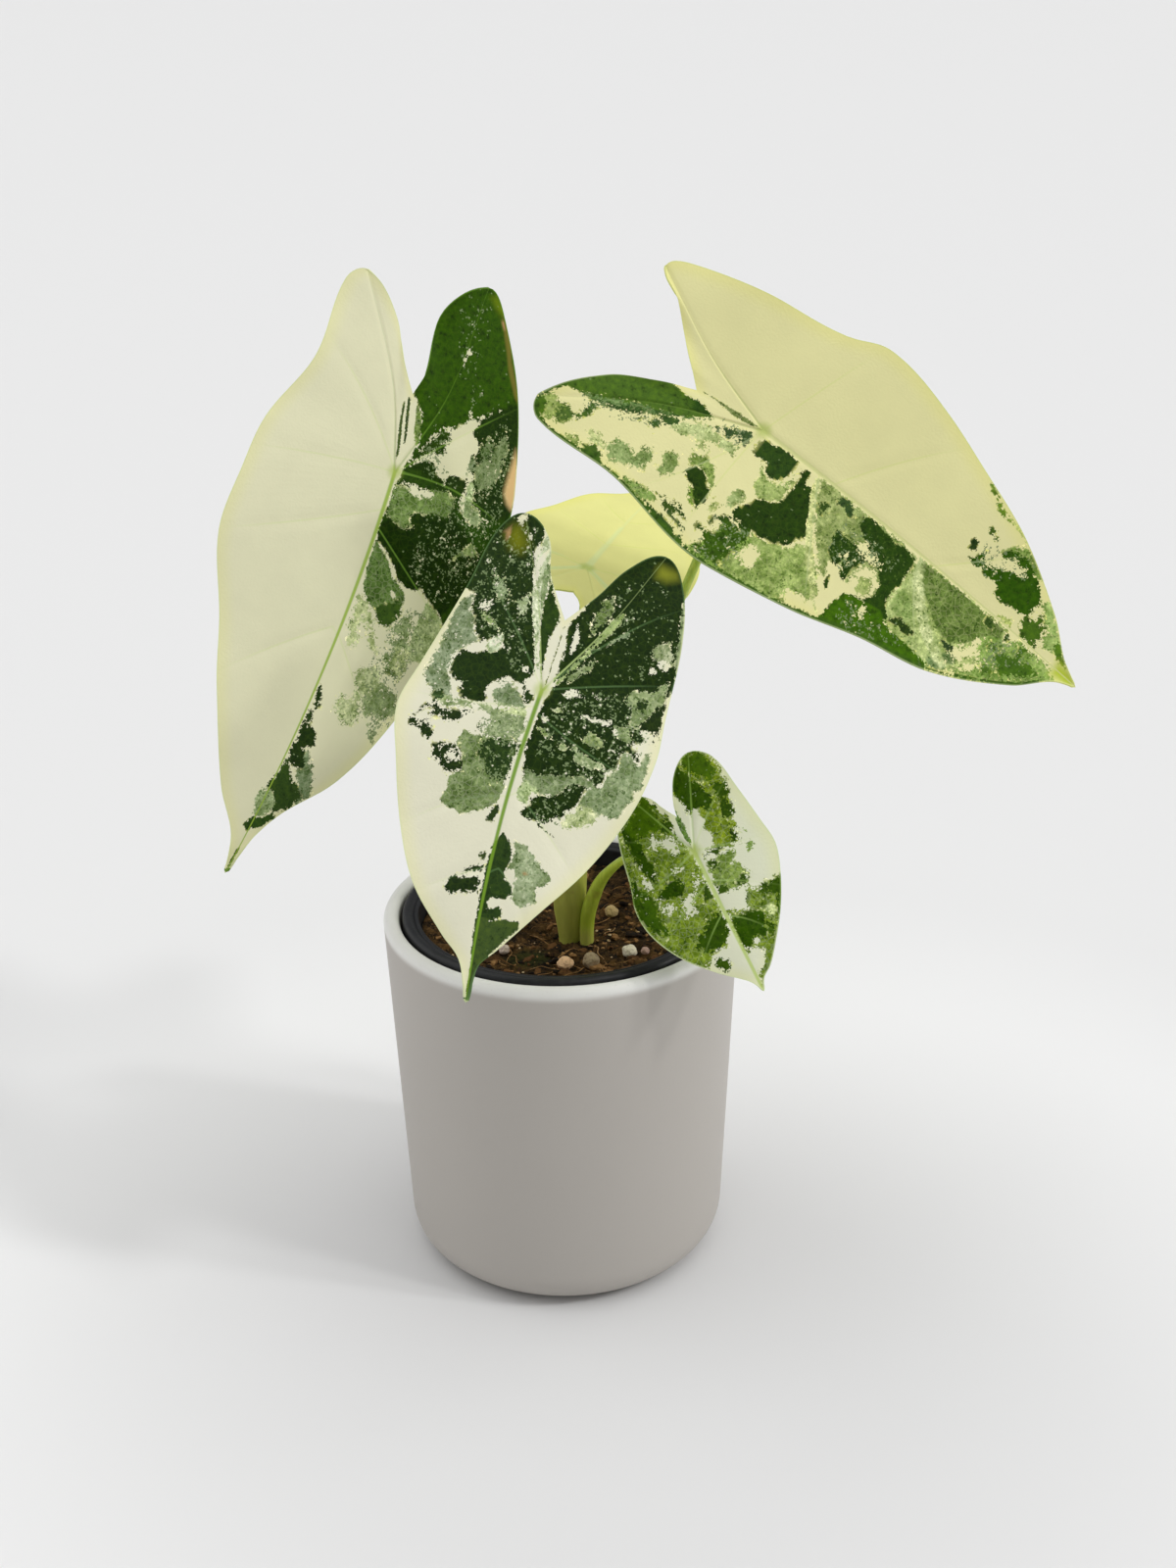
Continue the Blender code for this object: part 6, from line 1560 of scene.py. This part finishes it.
leaf_stalk("small_stalk", "stalk_small", small_leaf, Vector((0.0098, -0.0040, 0.1180)),
           base_radius=0.0027, end_radius=0.0014, swell=0.35)

# YELLOW LEAF
# The blade at the back, lying almost level: plain bright yellow, with a greenish-white line along each main
# vein. The front leaf hides its stalk.

yellow_leaf = dict(
    junction=(0.012, 0.03, 0.268), tip=(0.043, 0.126, 0.272), face=(0.24, -0.12, 0.96),
    fold=-3, curl=0.2, arch=0.0015, bow=0, ripple=0.0008, sinus=(-0.022, -0.002),
    right=[(-0.029, -0.007), (-0.039, -0.013), (-0.044, -0.022), (-0.038, -0.029), (-0.022, -0.031),
           (0, -0.036), (0.01, -0.038), (0.032, -0.036), (0.052, -0.029), (0.072, -0.019), (0.087, -0.008),
           (0.093, -0.003)],
    left=[(-0.029, 0.007), (-0.038, 0.013), (-0.042, 0.022), (-0.036, 0.029), (-0.022, 0.031), (0, 0.035),
          (0.01, 0.037), (0.032, 0.035), (0.052, 0.028), (0.072, 0.018), (0.087, 0.008), (0.093, 0.003)],
    stalk=[(0.0045, 0.006, 0.182), (0.0072, 0.0145, 0.222), (0.0105, 0.027, 0.254)],
    left_veins=[(0, 0, -12, 14, -24, 34), (0, 0, 4, 18, 8, 40), (24, 0, 36, 16, 50, 32),
                (50, 0, 60, 10, 74, 20)],
    right_veins=[(0, 0, -12, -14, -24, -36), (0, 0, 4, -18, 8, -42), (24, 0, 36, -16, 50, -34),
                 (50, 0, 60, -10, 74, -22)])
yellow_patches = [
    ("stain", (212, 230, 172), 0.8, (-1, 0, 1, -1.3, 12, -1.0, 44, -0.5, 44, 0.5, 12, 1.0, 1, 1.3)),
    ("stain", (212, 230, 172), 0.8, (0.5, 1, -11.5, 15, -24, 34, -12.8, 13.2, -0.8, -0.5)),
    ("stain", (212, 230, 172), 0.8, (0.5, -1, -11.5, -15, -24, -36, -12.8, -13.2, -0.8, 0.5)),
    ("stain", (216, 231, 170), 0.9, (-0.8, 0, 3.2, 18, 8, 38, 4.8, 18, 0.8, 0)),
    ("stain", (216, 231, 170), 0.9, (-0.8, 0, 3.2, -18, 8, -40, 4.8, -18, 0.8, 0))]
leaf_piece("yellow_leaf", "leaf_yellow", yellow_leaf, yellow_patches,
           base=ink(232, 230, 150), rib=(*ink(226, 230, 158), 0.6),
           lobe_rib=(*ink(226, 230, 158), 0.4), lateral=(*ink(226, 230, 158), 0.4), rows=(30, 70, 30))
leaf_stalk("yellow_stalk", "stalk_yellow", yellow_leaf, Vector((0.0032, 0.0037, 0.1583)))

# CAMERA, FLOOR AND LIGHT
# A plain pale floor that fills the view, with painted shade in a pool round the pot and a painted lighter
# ring beyond it. Two narrow key lights from the upper right throw the soft-edged shadow, three very wide
# ones fill from above and from both sides, and the sky is even.

camera_pitch = 23.2
camera_roll = -0.84
camera_aim = (0.011, 0, 0.193)
camera_distance = 0.730
lens = 45
sensor_height = 36
floor_drop = 0.0002
floor_size = 60
# middle of the pool of painted shade on the floor; then the painted shade, painted light and plain floor
# colours
painted_shade_middle = (0.03, -0.13, 0.0)
painted_shade_tone, painted_light_tone, far_tone = (0.73, 0.73, 0.73), (0.88, 0.88, 0.88), (0.80, 0.80, 0.80)
sky_strength = 0.25

scene = bpy.context.scene
tilt = math.radians(camera_pitch)
lean = math.radians(camera_roll)
look = Vector((0, math.cos(tilt), -math.sin(tilt)))
level = Vector((1, 0, 0))
rise = Vector((0, math.sin(tilt), math.cos(tilt)))
camera_data = bpy.data.cameras.new("camera")
camera_data.sensor_fit = "VERTICAL"
camera_data.sensor_height = sensor_height
camera_data.lens = lens
camera = bpy.data.objects.new("camera", camera_data)
scene.collection.objects.link(camera)
right = math.cos(lean) * level + math.sin(lean) * rise
upwards = -math.sin(lean) * level + math.cos(lean) * rise
camera.matrix_world = Matrix((right, upwards, -look)).transposed().to_4x4()
camera.matrix_world.translation = Vector(camera_aim) - camera_distance * look
scene.camera = camera

drop_selection()
bpy.ops.mesh.primitive_plane_add(size=floor_size, location=(0, 0, -floor_drop))
floor = bpy.context.object
floor.name = "floor"
paper = Finish("pale_floor", 0.9)
# painted shade and light: the floor's colour is darker round the pot and lighter in a ring beyond it
painted_shade_reach = paper.distance(painted_shade_middle)
floor_with_painted_shade = paper.mix(paper.between(painted_shade_reach, 0.05, 0.34), painted_shade_tone, painted_light_tone)
floor_with_painted_shade = paper.mix(paper.between(painted_shade_reach, 0.30, 0.46), floor_with_painted_shade, far_tone)
paper.colour(floor_with_painted_shade)
floor.data.materials.append(paper.material)

# name, strength, width of the light in degrees, and the way it shines
for name, energy, spread, course in (
        ("key", 0.46, 5, (-1.0, 0.27, -0.70)),
        ("high_key", 0.40, 6, (-0.85, 0.42, -1.0)),
        ("overhead", 1.35, 75, (0.0, 0.1, -1.0)),
        ("left_side", 0.74, 70, (1.0, -0.15, -0.45)),
        ("right_side", 0.69, 70, (-1.0, -0.15, -0.45))):
    light = bpy.data.lights.new(name, "SUN")
    light.energy = energy
    light.angle = math.radians(spread)
    lamp = bpy.data.objects.new(name, light)
    lamp.rotation_mode = "QUATERNION"
    lamp.rotation_quaternion = Vector(course).to_track_quat("-Z", "Y")
    scene.collection.objects.link(lamp)
sky = bpy.data.worlds.new("sky")
scene.world = sky
sky.use_nodes = True
background = sky.node_tree.nodes["Background"]
background.inputs["Color"].default_value = (1.0, 1.0, 1.0, 1.0)
background.inputs["Strength"].default_value = sky_strength
scene.view_settings.view_transform = "Standard"
